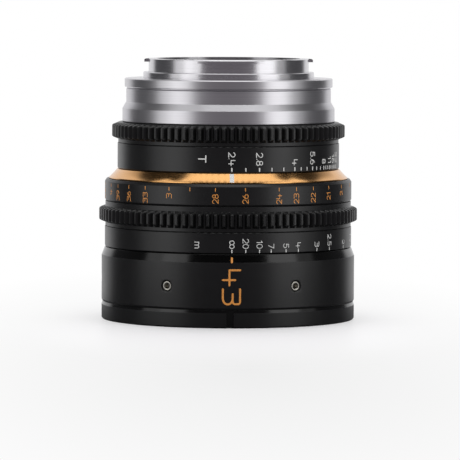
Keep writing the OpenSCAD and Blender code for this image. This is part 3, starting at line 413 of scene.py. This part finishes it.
# cells round the barrel, and how many of them each hole's square patch reaches from its middle
CELLS, PATCH = 480, 4
cell = 2 * np.pi * FRONT_R / CELLS
wall = np.stack([np.full(2 * PATCH + 1, FRONT_R),
                 HOLE_Z + cell * np.arange(-PATCH, PATCH + 1)], -1)
loop = rounded([
    (38.094, BARREL_STEP), (38.094, FRONT_RING_TOP), (39.65, FRONT_RING_TOP, 0.08),
    (FRONT_R, 6.2, 0.15), (FRONT_R, BARREL_CONE, 0.25), (BAND_R, BARREL_TOP, 0.15),
    (BARREL_BORE, BARREL_TOP), (BARREL_BORE, BARREL_STEP)])
first = int(np.argmax(loop[:, 1] > HOLE_Z))
profile = np.vstack([loop[:first], wall, loop[first:]])
angle = FRONT + 2 * np.pi * np.arange(CELLS)[None] / CELLS
points = on_circle(profile[:, :1], angle, profile[:, 1:])
holes = np.round(np.radians(30.0 + 60.0 * np.arange(6)) / (2 * np.pi) * CELLS).astype(int)
near = (np.abs((np.arange(CELLS)[None] + 0.5 - holes[:, None])) < PATCH).any(0)
skip = np.zeros(points.shape[:2], bool)
skip[first:first + 2 * PATCH] = near
mesh = grid_mesh("front_barrel_turned", points, skip=skip)
# each hole: the square patch round it runs into circles that sink along the countersink
k = np.arange(-PATCH, PATCH)
far = np.full(2 * PATCH, PATCH)
edge = np.concatenate([np.stack([k, -far], 1), np.stack([far, k], 1),
                       np.stack([-k, far], 1), np.stack([-far, -k], 1)])
way = edge / np.linalg.norm(edge, axis=1, keepdims=True)
rings = [(None, 0.0), (COUNTERSINK_R + 0.1, 0.0), (COUNTERSINK_R, 0.02), (HOLE_R, 0.26),
         (HOLE_R, 0.4), (HOLE_R, HOLE_DEPTH), (0.0, HOLE_DEPTH)]
shape = bmesh.new()
shape.from_mesh(mesh)
for hole in holes:
    turn = FRONT + 2 * np.pi * hole / CELLS
    flat = np.stack([edge * cell if r is None else way * r for r, depth in rings])
    depth = np.array([depth for r, depth in rings])[:, None]
    patch = on_circle(FRONT_R - depth, turn + flat[..., 0] / FRONT_R, HOLE_Z + flat[..., 1])
    shape.from_mesh(grid_mesh("hole", patch, wrap_rows=False))
shape.to_mesh(mesh)
shape.free()
place(mesh, "lens_body", black_anodised, "black_anodised", "front_barrel")

# Set screws: short steel screws with a flat rim and a hexagon socket, screwed down until they sit
# just below the barrel. Their steel keeps the grey film of its heat treatment, rubbed brighter in
# spots.
RUBBED = 0.8
heat_treated_steel, tree = new_material("heat_treated_steel")
where = add_node(tree, "ShaderNodeTexCoord")
rubbed = add_node(tree, "ShaderNodeTexNoise", {
    "Vector": where.outputs["Object"], "Scale": 1 / (RUBBED * MM), "Detail": 4.0})
tint = add_node(tree, "ShaderNodeMix", {
    0: rubbed.outputs[0], 6: linear("#8f8d86"), 7: linear("#bdbab2")}, data_type="RGBA")
gloss = add_node(tree, "ShaderNodeMapRange", {
    "Value": rubbed.outputs[0], "To Min": 0.18, "To Max": 0.32})
skin = add_node(tree, "ShaderNodeBsdfPrincipled", {
    "Base Color": tint.outputs[2], "Metallic": 1.0, "Roughness": gloss.outputs["Result"]})
add_node(tree, "ShaderNodeOutputMaterial", {"Surface": skin.outputs["BSDF"]})
SCREW_R, SCREW_LONG, SCREW_SINK, SCREW_MIDDLE = 1.57, 2.9, 0.3, 39.0
SOCKET, SOCKET_DEPTHS = 0.78, (0.14, 2.2, 2.5)
turn = np.radians(np.arange(0.0, 360.0, 10.0))
# hexagon: half the width across its flats, divided by the cosine of the angle from the middle of
# the nearest flat
hexagon = SOCKET / np.cos((turn + np.pi / 6) % (np.pi / 3) - np.pi / 6)
rim = np.array([(0.0, SCREW_LONG), (SCREW_R, SCREW_LONG), (SCREW_R, 0.16), (1.42, 0.02),
                (1.38, 0.0), (1.1, 0.0), (1.0, 0.02)])
across = np.vstack([np.repeat(rim[:, :1], len(turn), 1), hexagon, hexagon, 0 * turn])
down = np.concatenate([rim[:, 1], SOCKET_DEPTHS])[:, None]
shape = bmesh.new()
for hole in holes:
    at = FRONT + 2 * np.pi * hole / CELLS
    points = on_circle(FRONT_R - SCREW_SINK - down, at + across * np.cos(turn) / SCREW_MIDDLE,
                       HOLE_Z + across * np.sin(turn))
    shape.from_mesh(grid_mesh("screw", points, wrap_rows=False))
mesh = bpy.data.meshes.new("set_screws")
shape.to_mesh(mesh)
shape.free()
place(mesh, "lens_body", heat_treated_steel, "screw_steel", "front_barrel_set_screws")


# Scale bands: thin black rings glued on the focus sleeve, each with a chamfer along both edges.
# The focus gear sits between them, milled with 100 straight teeth of module 0.8.
def turned(name, corners, body, material, slot, *nodes, segments=288):
    """Solid of revolution: the rounded profile carried round the axis."""
    profile = rounded(corners)
    angle = FRONT + 2 * np.pi * np.arange(segments)[None] / segments
    points = on_circle(profile[:, :1], angle, profile[:, 1:])
    return place(grid_mesh(name, points), body, material, slot, *nodes)


def band(name, inner, outer, z0, z1, low, high, body, node, slope=0.7):
    """Scale band: a tube with a chamfer along both outer edges, low and high tall, and as deep as
    slope times that."""
    corners = [(inner, z0), (outer - slope * low, z0, 0.06), (outer, z0 + low, 0.1),
               (outer, z1 - high, 0.1), (outer - slope * high, z1, 0.06), (inner, z1)]
    return turned(name, corners, body, black_anodised, "black_anodised", node)


def gear(name, teeth, inner, z0, z1, face, behind, body, node):
    """Gear ring: the radius round a tooth steps from root to tip along straight flanks, and near
    both ends of the teeth it is cut to a bevel cone that rounds off into the tips. A plain rim is
    left behind the teeth."""
    module, pressure, dedendum, bevel = 0.8, np.radians(20), 1.25, 0.8
    ease, under = 0.06, 0.15
    tip, root = module * (teeth / 2 + 1), module * (teeth / 2 - dedendum)
    rim = root - under
    half = module * np.pi / 4
    foot = np.arcsin((half + dedendum * module * np.tan(pressure)) / root)
    head = np.arcsin((half - module * np.tan(pressure)) / tip)
    pitch = 2 * np.pi / teeth
    corner = ease / tip
    step = np.array([-pitch / 2, -foot, -head - 0.3 * corner, -head + corner, 0.0,
                     head - corner, head + 0.3 * corner, foot])
    rise = np.array([root, root, tip - ease, tip, tip, tip, tip - ease, root])
    angle = (FRONT + pitch * np.arange(teeth)[:, None] + step).reshape(1, -1)
    tooth = np.tile(rise, teeth)[None]
    t0, t1 = z1 - behind - face, z1 - behind
    up = bevel * np.array([0.0, 0.08, 0.35, 0.7, 0.86, 1.02, 1.3, 1.5])
    painted_slot_shade = rim + (tip - rim) * np.array([0.0, 0.08, 0.35, 0.7, 0.86, 0.95, 1.0, 1.0])
    height = np.concatenate([t0 + up, (t1 - up)[::-1]])
    radius = np.minimum(tooth, np.concatenate([painted_slot_shade, painted_slot_shade[::-1]])[:, None])
    edge = rounded([(inner, z0), (rim, z0, 0.12), (rim, t0),
                    (rim, t1), (rim, z1, 0.12), (inner, z1)])
    low, high = edge[edge[:, 1] < t0 - 1e-6], edge[edge[:, 1] > t1 + 1e-6]
    same = np.ones_like(angle)
    radius = np.vstack([low[:, :1] * same, radius, high[:, :1] * same])
    height = np.concatenate([low[:, 1], height, high[:, 1]])[:, None]
    mesh = grid_mesh(name, on_circle(radius, angle, height))
    return place(mesh, body, black_anodised, "black_anodised", node)


BAND_BORE = 37.75
band("metre_band", BAND_BORE, BAND_R, 22.95, 29.40, 0.3, 0.2, "focus_ring", "metre_scale_ring")
gear("focus_gear", 100, BAND_BORE, 29.50, 37.35, 5.2, 1.55, "focus_ring", "focus_gear_ring")
band("feet_band", BAND_BORE, BAND_R, 37.45, 44.30, 0.5, 0.8, "focus_ring", "feet_scale_ring")

# Index ring: aluminium turned to a shallow cone and anodised gold, screwed on the main barrel
# between the two rings that turn. The tool leaves fine rings, drawn coarser here so that they show,
# and they draw its highlights out across them.
POLISH_FROM, POLISH_EASE = 76.0, 0.05


def turned_metal(name, dark, light, feed, smooth, rough, stretch, polish=1.0):
    """Metal from the lathe: tint, gloss and bump change only across the tool marks, which follow
    the height less the radius, and the highlight is drawn out across the marks, not along them.
    Above POLISH_FROM the roughness is multiplied by polish."""
    material, tree = new_material(name)
    where = add_node(tree, "ShaderNodeTexCoord")
    split = add_node(tree, "ShaderNodeSeparateXYZ", {0: where.outputs["Object"]})
    along = add_node(tree, "ShaderNodeMath", {
        0: split.outputs["Z"], 1: distance_from(tree, where, AXIS, FLAT)}, operation="SUBTRACT")
    marks = add_node(tree, "ShaderNodeTexNoise", {
        "W": along.outputs[0], "Scale": 1 / (feed * MM), "Detail": 2.0}, noise_dimensions="1D")
    tint = add_node(tree, "ShaderNodeMix", {
        0: marks.outputs[0], 6: linear(dark), 7: linear(light)}, data_type="RGBA")
    gloss = add_node(tree, "ShaderNodeMapRange", {
        "Value": marks.outputs[0], "To Min": smooth, "To Max": rough})
    finer = add_node(tree, "ShaderNodeMapRange", {
        "Value": split.outputs["Z"], "From Min": (POLISH_FROM - POLISH_EASE) * MM,
        "From Max": (POLISH_FROM + POLISH_EASE) * MM, "To Min": 1.0, "To Max": polish})
    gloss = add_node(tree, "ShaderNodeMath", {0: gloss.outputs[0], 1: finer.outputs[0]},
                     operation="MULTIPLY")
    bump = add_node(tree, "ShaderNodeBump", {
        "Height": marks.outputs[0], "Strength": 0.15, "Distance": 0.01 * MM})
    turning = add_node(tree, "ShaderNodeTangent", direction_type="RADIAL", axis="Z")
    skin = add_node(tree, "ShaderNodeBsdfPrincipled", {
        "Base Color": tint.outputs[2], "Metallic": 1.0, "Roughness": gloss.outputs[0],
        "Anisotropic": stretch, "Anisotropic Rotation": 0.25, "Normal": bump.outputs["Normal"],
        "Tangent": turning.outputs["Tangent"]})
    add_node(tree, "ShaderNodeOutputMaterial", {"Surface": skin.outputs["BSDF"]})
    return material


gold_anodised = turned_metal("gold_anodised_aluminium", "#d89f60", "#ecb678", 0.22, 0.14, 0.20, 0.2)
INDEX_R0, INDEX_R1, INDEX_Z0, INDEX_Z1, INDEX_HOLLOW = 37.62, 35.1, 44.8, 47.4, 0.2
INDEX_BORE, INDEX_FOOT, INDEX_LIP = 33.65, 44.5, 0.12


def cone_at(z):
    """Radius of the index cone, hollow by a hair near its foot: a line less hollow * (s - s^4),
    where s runs from 1 at the foot to 0 at the top."""
    s = (INDEX_Z1 - z) / (INDEX_Z1 - INDEX_Z0)
    return INDEX_R1 + (INDEX_R0 - INDEX_R1) * s - INDEX_HOLLOW * (s - s ** 4)


levels = np.linspace(INDEX_Z0, INDEX_Z1, 17)[1:-1]
turned("index_cone", [
    (INDEX_BORE, INDEX_FOOT), (INDEX_R0 + INDEX_LIP, INDEX_FOOT, 0.03), (INDEX_R0, INDEX_Z0, 0.05),
    *zip(cone_at(levels), levels), (INDEX_R1, INDEX_Z1, 0.03), (INDEX_BORE, INDEX_Z1)],
    "lens_body", gold_anodised, "gold_anodised", "index_ring")

# Iris ring: a narrower black scale band and a gear of 90 teeth on the iris sleeve.
IRIS_R, IRIS_BORE = 35.05, 33.45
band("iris_band", IRIS_BORE, IRIS_R, 47.60, 55.65, 0.3, 0.2, "iris_ring", "iris_scale_ring")
gear("iris_gear", 90, IRIS_BORE, 55.75, 62.15, 5.2, 0.1, "iris_ring", "iris_gear_ring")

# Engraved and paint-filled marks: white for metres and the iris, orange for feet and the focal
# length. Enamel is rubbed into the cut, and stands a hair proud when it has dried.
def arc(x, y, rx, ry, start, end):
    """Points on an ellipse about (x, y), from one angle to another in degrees."""
    t = np.radians(np.linspace(start, end, max(4, int(abs(end - start) / 18))))
    return np.stack([x + rx * np.cos(t), y + ry * np.sin(t)], -1)


SIX = [arc(0.36, 0.31, 0.35, 0.31, 0, 360), arc(0.80, 0.31, 0.79, 0.72, 180, 116)]
LEG = np.array([[0.0, 0.42], [0.0, 0.0]])
# strokes of a pen in a cell one high: plain round-ended numerals, a metre sign and an infinity
PEN = {
    "0": (0.72, [arc(0.36, 0.5, 0.36, 0.5, 90, 450)]),
    "1": (0.42, [[(0.06, 0.78), (0.32, 1.0)], [(0.32, 1.0), (0.32, 0.0)]]),
    "2": (0.72, [arc(0.36, 0.68, 0.34, 0.32, 165, -40), [(0.62, 0.474), (0.03, 0.0)],
                 [(0.03, 0.0), (0.72, 0.0)]]),
    "3": (0.80, [np.vstack([[(0.0, 1.0)], arc(0.66, 0.87, 0.13, 0.13, 90, 0),
                            arc(0.66, 0.71, 0.13, 0.13, 0, -90)]), [(0.26, 0.57), (0.6, 0.57)],
                 np.vstack([arc(0.5, 0.285, 0.30, 0.285, 90, -90), [(0.0, 0.0)]])]),
    "4": (0.80, [[(0.0, 1.0), (0.0, 0.38)], [(0.0, 0.38), (0.8, 0.38)],
                 [(0.52, 0.72), (0.52, 0.0)]]),
    "5": (0.72, [[(0.64, 1.0), (0.12, 1.0)], [(0.12, 1.0), (0.07, 0.54)],
                 arc(0.34, 0.32, 0.36, 0.32, 140, -150)]),
    "6": (0.72, SIX),
    "7": (0.70, [[(0.0, 1.0), (0.7, 1.0)], [(0.7, 1.0), (0.24, 0.0)]]),
    "8": (0.72, [arc(0.36, 0.75, 0.29, 0.25, 0, 360), arc(0.36, 0.255, 0.35, 0.255, 0, 360)]),
    "9": (0.72, [np.array([0.72, 1.0]) - np.asarray(part) for part in SIX]),
    ".": (0.12, [[(0.06, 0.03), (0.06, 0.07)]]),
    "T": (0.80, [[(0.0, 1.0), (0.8, 1.0)], [(0.4, 1.0), (0.4, 0.0)]]),
    "m": (0.90, [[(0.0, 0.64), (0.0, 0.0)],
                 np.vstack([arc(0.225, 0.42, 0.225, 0.22, 180, 0), LEG + [0.45, 0.0]]),
                 np.vstack([arc(0.675, 0.42, 0.225, 0.22, 180, 0), LEG + [0.90, 0.0]])]),
    "oo": (1.20, [arc(0.30, 0.5, 0.30, 0.36, 0, 360), arc(0.90, 0.5, 0.30, 0.36, 180, 540)]),
}
GAP, PEN_STEP = 0.20, 0.16


def stroke(path, width, round_ends):
    """Edges of a pen stroke: the path in steps short enough to follow the ring, set off along its
    normal. At a round end the half width falls as a cosine while the pen runs on by a sine."""
    path = np.asarray(path, float)
    run = np.concatenate([[0.0], np.cumsum(np.linalg.norm(np.diff(path, axis=0), axis=1))])
    steps = np.linspace(0.0, run[-1], max(4, int(run[-1] / PEN_STEP) + 2))
    path = np.stack([np.interp(steps, run, path[:, 0]), np.interp(steps, run, path[:, 1])], -1)
    ahead = np.gradient(path, axis=0)
    ahead /= np.linalg.norm(ahead, axis=1, keepdims=True)
    half = np.full((len(path), 1), 0.5 * width)
    if round_ends:
        t = np.radians([90.0, 60.0, 30.0])[:, None]
        cap = 0.5 * width * np.sin(t)
        path = np.vstack([path[0] - cap * ahead[0], path, path[-1] + cap[::-1] * ahead[-1]])
        ahead = np.vstack([ahead[:1]] * 3 + [ahead] + [ahead[-1:]] * 3)
        half = np.vstack([0.5 * width * np.cos(t), half, 0.5 * width * np.cos(t[::-1])])
    normal = np.stack([-ahead[:, 1], ahead[:, 0]], -1)
    return path + half * normal, path - half * normal


def lettered(text, turn, z_end, tall, up, width, stretch=1.0):
    """Strokes of a number on a ring, as (distance along the ring, height) pairs. It reads down
    the barrel with its top to the right (up = 1) or up the barrel with its top to the left (-1),
    and its last figure ends at z_end."""
    signs = [text] if text in PEN else list(text)
    total = sum(PEN[s][0] for s in signs) + GAP * (len(signs) - 1)
    x, made = 0.0, []
    for sign in signs:
        for part in PEN[sign][1]:
            part = np.asarray(part, float)
            across = up * (part[:, 1] - 0.5) * tall
            down = (total - x - part[:, 0]) * tall * stretch
            made.append((np.stack([across, z_end + up * down], -1), turn, width))
        x += PEN[sign][0] + GAP
    return made


PROUD, PROUD_STEP, SUNK = 0.02, 0.002, 0.06


def painted(name, strokes, radius_at, body, material, slot, round_ends=True):
    """One mesh of all the strokes: each is a strip with four long edges, two just proud of the
    metal and two sunk in it, wrapped round the axis at the radius of the ring at each height. Four
    strokes in a row each stand a step higher, so that no two share a face where they cross. Ends
    that aren't round are closed by a flat face."""
    shape = bmesh.new()
    for number, (path, turn, width) in enumerate(strokes):
        left, right = stroke(path, width, round_ends)
        lift = PROUD + PROUD_STEP * (number % 4)
        flat = np.stack([left, right, right, left], 1)
        out = radius_at(flat[..., 1]) + np.array([lift, lift, -SUNK, -SUNK])
        angle = FRONT + np.radians(turn) + flat[..., 0] / radius_at(flat[..., 1])
        shape.from_mesh(grid_mesh("stroke", on_circle(out, angle, flat[..., 1]), wrap_rows=False))
    if not round_ends:
        bmesh.ops.holes_fill(shape, edges=shape.edges, sides=4)
    mesh = bpy.data.meshes.new(name)
    shape.to_mesh(mesh)
    shape.free()
    return place(mesh, body, material, slot)


# Enamel: alkyd paint with a slight gloss, a little uneven where the brush left it.
BRUSHED = 0.5
paints = {}
for colour, dark, light in (("white", "#cacac9", "#dededc"), ("orange", "#d58a3c", "#e69b4a")):
    paints[colour], tree = new_material(colour + "_enamel")
    where = add_node(tree, "ShaderNodeTexCoord")
    uneven = add_node(tree, "ShaderNodeTexNoise", {
        "Vector": where.outputs["Object"], "Scale": 1 / (BRUSHED * MM), "Detail": 2.0})
    tint = add_node(tree, "ShaderNodeMix", {
        0: uneven.outputs[0], 6: linear(dark), 7: linear(light)}, data_type="RGBA")
    skin = add_node(tree, "ShaderNodeBsdfPrincipled", {
        "Base Color": tint.outputs[2], "Roughness": 0.5})
    add_node(tree, "ShaderNodeOutputMaterial", {"Surface": skin.outputs["BSDF"]})


FOCUS_LEAD, FOCUS_OFFSET, FOOT = 125.3, 0.1034, 0.3048


def distance_turn(metres):
    """Turn of the focus ring in degrees for a distance: the lens moves by f^2 / (d - offset), and
    f^2 divided by the lead of the grooves is FOCUS_LEAD."""
    return FOCUS_LEAD / (metres - FOCUS_OFFSET)


def focus_band_at(z):
    """Radius of both focus bands, the same at every height."""
    return BAND_R + 0 * z


METRE_MARKS = (20, 10, 7, 5, 4, 3, 2.5, 2, 1.7, 1.5, 1.3, 1.2, 1.1, 1, 0.9, 0.8, 0.7, 0.65, 0.6)
METRE_END, METRE_TALL, METRE_PEN = 24.62, 1.78, 0.21
METRE_TICK, METRE_TICK_WIDE = [(0, 23.36), (0, 24.10)], 0.33
marks = lettered("oo", 0.0, METRE_END, 1.97, 1, 0.24) + lettered("m", -15.5, 24.65, 2.05, 1, 0.24)
marks.append((METRE_TICK, 0.0, METRE_TICK_WIDE))
for metres in METRE_MARKS:
    turn = distance_turn(metres)
    marks += lettered(f"{metres:g}", turn, METRE_END, METRE_TALL, 1, METRE_PEN)
    marks.append((METRE_TICK, turn, METRE_TICK_WIDE))
painted("metre_scale_marks", marks, focus_band_at, "focus_ring", paints["white"], "white_fill")

# feet, inches and what is written: the last figure is the inches where there are any
FEET_MARKS = ((60, 0, "60"), (30, 0, "30"), (20, 0, "20"), (15, 0, "15"), (12, 0, "12"),
              (10, 0, "10"), (8, 0, "8"), (7, 0, "7"), (6, 0, "6"), (5, 0, "5"), (4, 6, "46"),
              (4, 0, "4"), (3, 9, "39"), (3, 6, "36"), (3, 3, "33"), (3, 0, "3"), (2, 10, ""),
              (2, 8, "28"), (2, 6, "26"), (2, 4, "24"), (2, 3, "23"), (2, 2, "22"), (2, 1, "21"),
              (2, 0, "2"), (1, 11, ""))
FEET_START, FEET_END, FEET_TALL, FEET_PEN = -184.2, 41.25, 1.74, 0.19
FEET_TICK, FEET_TICK_WIDE = [(0, 42.20), (0, 43.15)], 0.23
marks = lettered("oo", FEET_START, FEET_END, 1.97, -1, 0.2)
marks.append((FEET_TICK, FEET_START, FEET_TICK_WIDE))
for feet, inches, text in FEET_MARKS:
    turn = distance_turn((feet + inches / 12) * FOOT) + FEET_START
    marks.append((FEET_TICK, turn, FEET_TICK_WIDE))
    if text:
        marks += lettered(text, turn, FEET_END, FEET_TALL, -1, FEET_PEN)
painted("feet_scale_marks", marks, focus_band_at, "focus_ring", paints["orange"], "orange_fill")

STOPS = (("2.4", 0.0), ("2.8", 14.2), ("4", 34.2), ("5.6", 46.6), ("8", 56.5), ("11", 62.7),
         ("16", 67.8), ("22", 72.5))
IRIS_END, IRIS_TALL, IRIS_PEN = 49.95, 1.98, 0.25
IRIS_TICK, IRIS_TICK_WIDE, IRIS_PART_WIDE = [(0, 48.22), (0, 49.08)], 0.40, 0.32


def iris_band_at(z):
    """Radius of the iris band, the same at every height."""
    return IRIS_R + 0 * z


marks = lettered("T", -15.1, 50.9, 2.29, 1, 0.34, stretch=1.11)
for number, (text, turn) in enumerate(STOPS):
    marks += lettered(text, turn, IRIS_END, IRIS_TALL, 1, IRIS_PEN)
    marks.append((IRIS_TICK, turn, IRIS_TICK_WIDE))
    if number < len(STOPS) - 1:
        parts = 2 if number == 0 else 3
        for k in range(1, parts):
            between = turn + (STOPS[number + 1][1] - turn) * k / parts
            marks.append((IRIS_TICK, between, IRIS_PART_WIDE))
painted("iris_scale_marks", marks, iris_band_at, "iris_ring", paints["white"], "white_fill")

INDEX_LINE, INDEX_LINE_WIDE = [(0, INDEX_Z0 + 0.06), (0, INDEX_Z1 - 0.04)], 1.35
marks = [(INDEX_LINE, turn, INDEX_LINE_WIDE) for turn in (0.0, FEET_START)]
painted("index_lines", marks, cone_at, "lens_body", paints["white"], "white_fill",
        round_ends=False)


def barrel_at(z):
    """Radius of the front barrel: straight, then a line along its cone."""
    return np.interp(z, [BARREL_CONE, BARREL_TOP], [FRONT_R, BAND_R])


FRONT_LINE, FRONT_PEN = [(0, 20.45), (0, 21.65)], 0.6
marks = [(FRONT_LINE, turn, FRONT_PEN) for turn in (0.0, FEET_START)]
marks += lettered("43", -0.15, 7.45, 5.3, 1, FRONT_PEN, stretch=1.105)
painted("focal_length_mark", marks, barrel_at, "lens_body", paints["orange"], "orange_fill")

# Mount base: bare aluminium, turned with a fine feed, with a straight band, a short cone and a neck
# whose upper edge is broken by a chamfer. It screws on the main barrel and carries the bayonet.
bare_aluminium = turned_metal("turned_bare_aluminium", "#c6c4c9", "#dcdbde", 0.30, 0.30, 0.38, 0.3)
BASE_R, NECK_R, BASE_BORE, BASE_LIP = 33.55, 32.35, 30.05, 26.5
BASE_FOOT, BASE_LEDGE, BASE_TOP = 62.35, 70.0, 73.0
turned("mount_base_turned", [
    (BASE_BORE, BASE_FOOT), (33.40, BASE_FOOT, 0.06), (BASE_R, 62.55, 0.1), (BASE_R, 66.5, 0.2),
    (NECK_R, 68.6, 0.3), (NECK_R, 72.62, 0.06), (32.0, BASE_TOP, 0.04), (BASE_LIP, BASE_TOP),
    (BASE_LIP, BASE_LEDGE), (BASE_BORE, BASE_LEDGE)],
    "lens_body", bare_aluminium, "bare_aluminium", "mount_base")

# Bayonet and shim: both are steel, turned and ground, the bayonet with three milled lugs. A shim of
# the right thickness sets the flange distance, and countersunk screws hold them on the base.
finishes = {
    "bayonet_steel": turned_metal("ground_bayonet_steel", "#c6c4c8", "#dad9dc",
                                  0.26, 0.28, 0.36, 0.3, polish=0.72),
    "screw_steel": heat_treated_steel,
    "brass": turned_metal("turned_brass", "#c9a65c", "#e0c07a", 0.25, 0.25, 0.34, 0.4),
}
# Barrels, sleeves, cells and baffles inside: aluminium with a matt black anodised skin that soaks
# up stray light. A fine grit, drawn coarser than it is, breaks what little gloss it has.
MATT_GRIT = 0.2
finishes["matt_black"], tree = new_material("matt_black_anodised_aluminium")
where = add_node(tree, "ShaderNodeTexCoord")
grit = add_node(tree, "ShaderNodeTexNoise", {
    "Vector": where.outputs["Object"], "Scale": 1 / (MATT_GRIT * MM), "Detail": 3.0})
shade = add_node(tree, "ShaderNodeMix", {
    0: grit.outputs[0], 6: linear("#080808"), 7: linear("#121213")}, data_type="RGBA")
bump = add_node(tree, "ShaderNodeBump", {
    "Height": grit.outputs[0], "Strength": 0.3, "Distance": 0.03 * MM})
skin = add_node(tree, "ShaderNodeBsdfPrincipled", {
    "Base Color": shade.outputs[2], "Roughness": 0.7, "IOR": 1.45,
    "Normal": bump.outputs["Normal"]})
add_node(tree, "ShaderNodeOutputMaterial", {"Surface": skin.outputs["BSDF"]})

# Lens elements: optical glass, ground and polished. A coating that acts as one film, a quarter wave
# of green light thick, leaves a weak purple reflection. A trace of dust lies on it.
DUST, FILM_NANOMETRES = 1.5, 106.0
finishes["coated_glass"], tree = new_material("coated_optical_glass")
where = add_node(tree, "ShaderNodeTexCoord")
dust = add_node(tree, "ShaderNodeTexNoise", {
    "Vector": where.outputs["Object"], "Scale": 1 / (DUST * MM), "Detail": 5.0})
gloss = add_node(tree, "ShaderNodeMapRange", {
    "Value": dust.outputs[0], "From Min": 0.45, "From Max": 0.8, "To Min": 0.0, "To Max": 0.03})
skin = add_node(tree, "ShaderNodeBsdfPrincipled", {
    "Base Color": linear("#f7fafb"), "Roughness": gloss.outputs["Result"], "IOR": 1.62,
    "Transmission Weight": 1.0, "Thin Film Thickness": FILM_NANOMETRES, "Thin Film IOR": 1.28})
add_node(tree, "ShaderNodeOutputMaterial", {"Surface": skin.outputs["BSDF"]})

# Iris blades: nine leaves stamped from thin spring steel and coated with a dull black lacquer. They
# rub it to a slight sheen in patches where they slide over each other.
WEAR = 2.0
finishes["blade_steel"], tree = new_material("lacquered_spring_steel")
where = add_node(tree, "ShaderNodeTexCoord")
wear = add_node(tree, "ShaderNodeTexNoise", {
    "Vector": where.outputs["Object"], "Scale": 1 / (WEAR * MM), "Detail": 4.0})
shade = add_node(tree, "ShaderNodeMix", {
    0: wear.outputs[0], 6: linear("#0e0e0f"), 7: linear("#1c1c1e")}, data_type="RGBA")
gloss = add_node(tree, "ShaderNodeMapRange", {
    "Value": wear.outputs[0], "To Min": 0.55, "To Max": 0.35})
skin = add_node(tree, "ShaderNodeBsdfPrincipled", {
    "Base Color": shade.outputs[2], "Roughness": gloss.outputs["Result"]})
add_node(tree, "ShaderNodeOutputMaterial", {"Surface": skin.outputs["BSDF"]})

# The solids that keep their own shape take the finish of their slot in the record.
for part in frame["record"]["subparts"]:
    if part["material_slot"] in finishes:
        solid = frame["nodes"][part["node"]].data
        solid.materials.clear()
        solid.materials.append(finishes[part["material_slot"]])
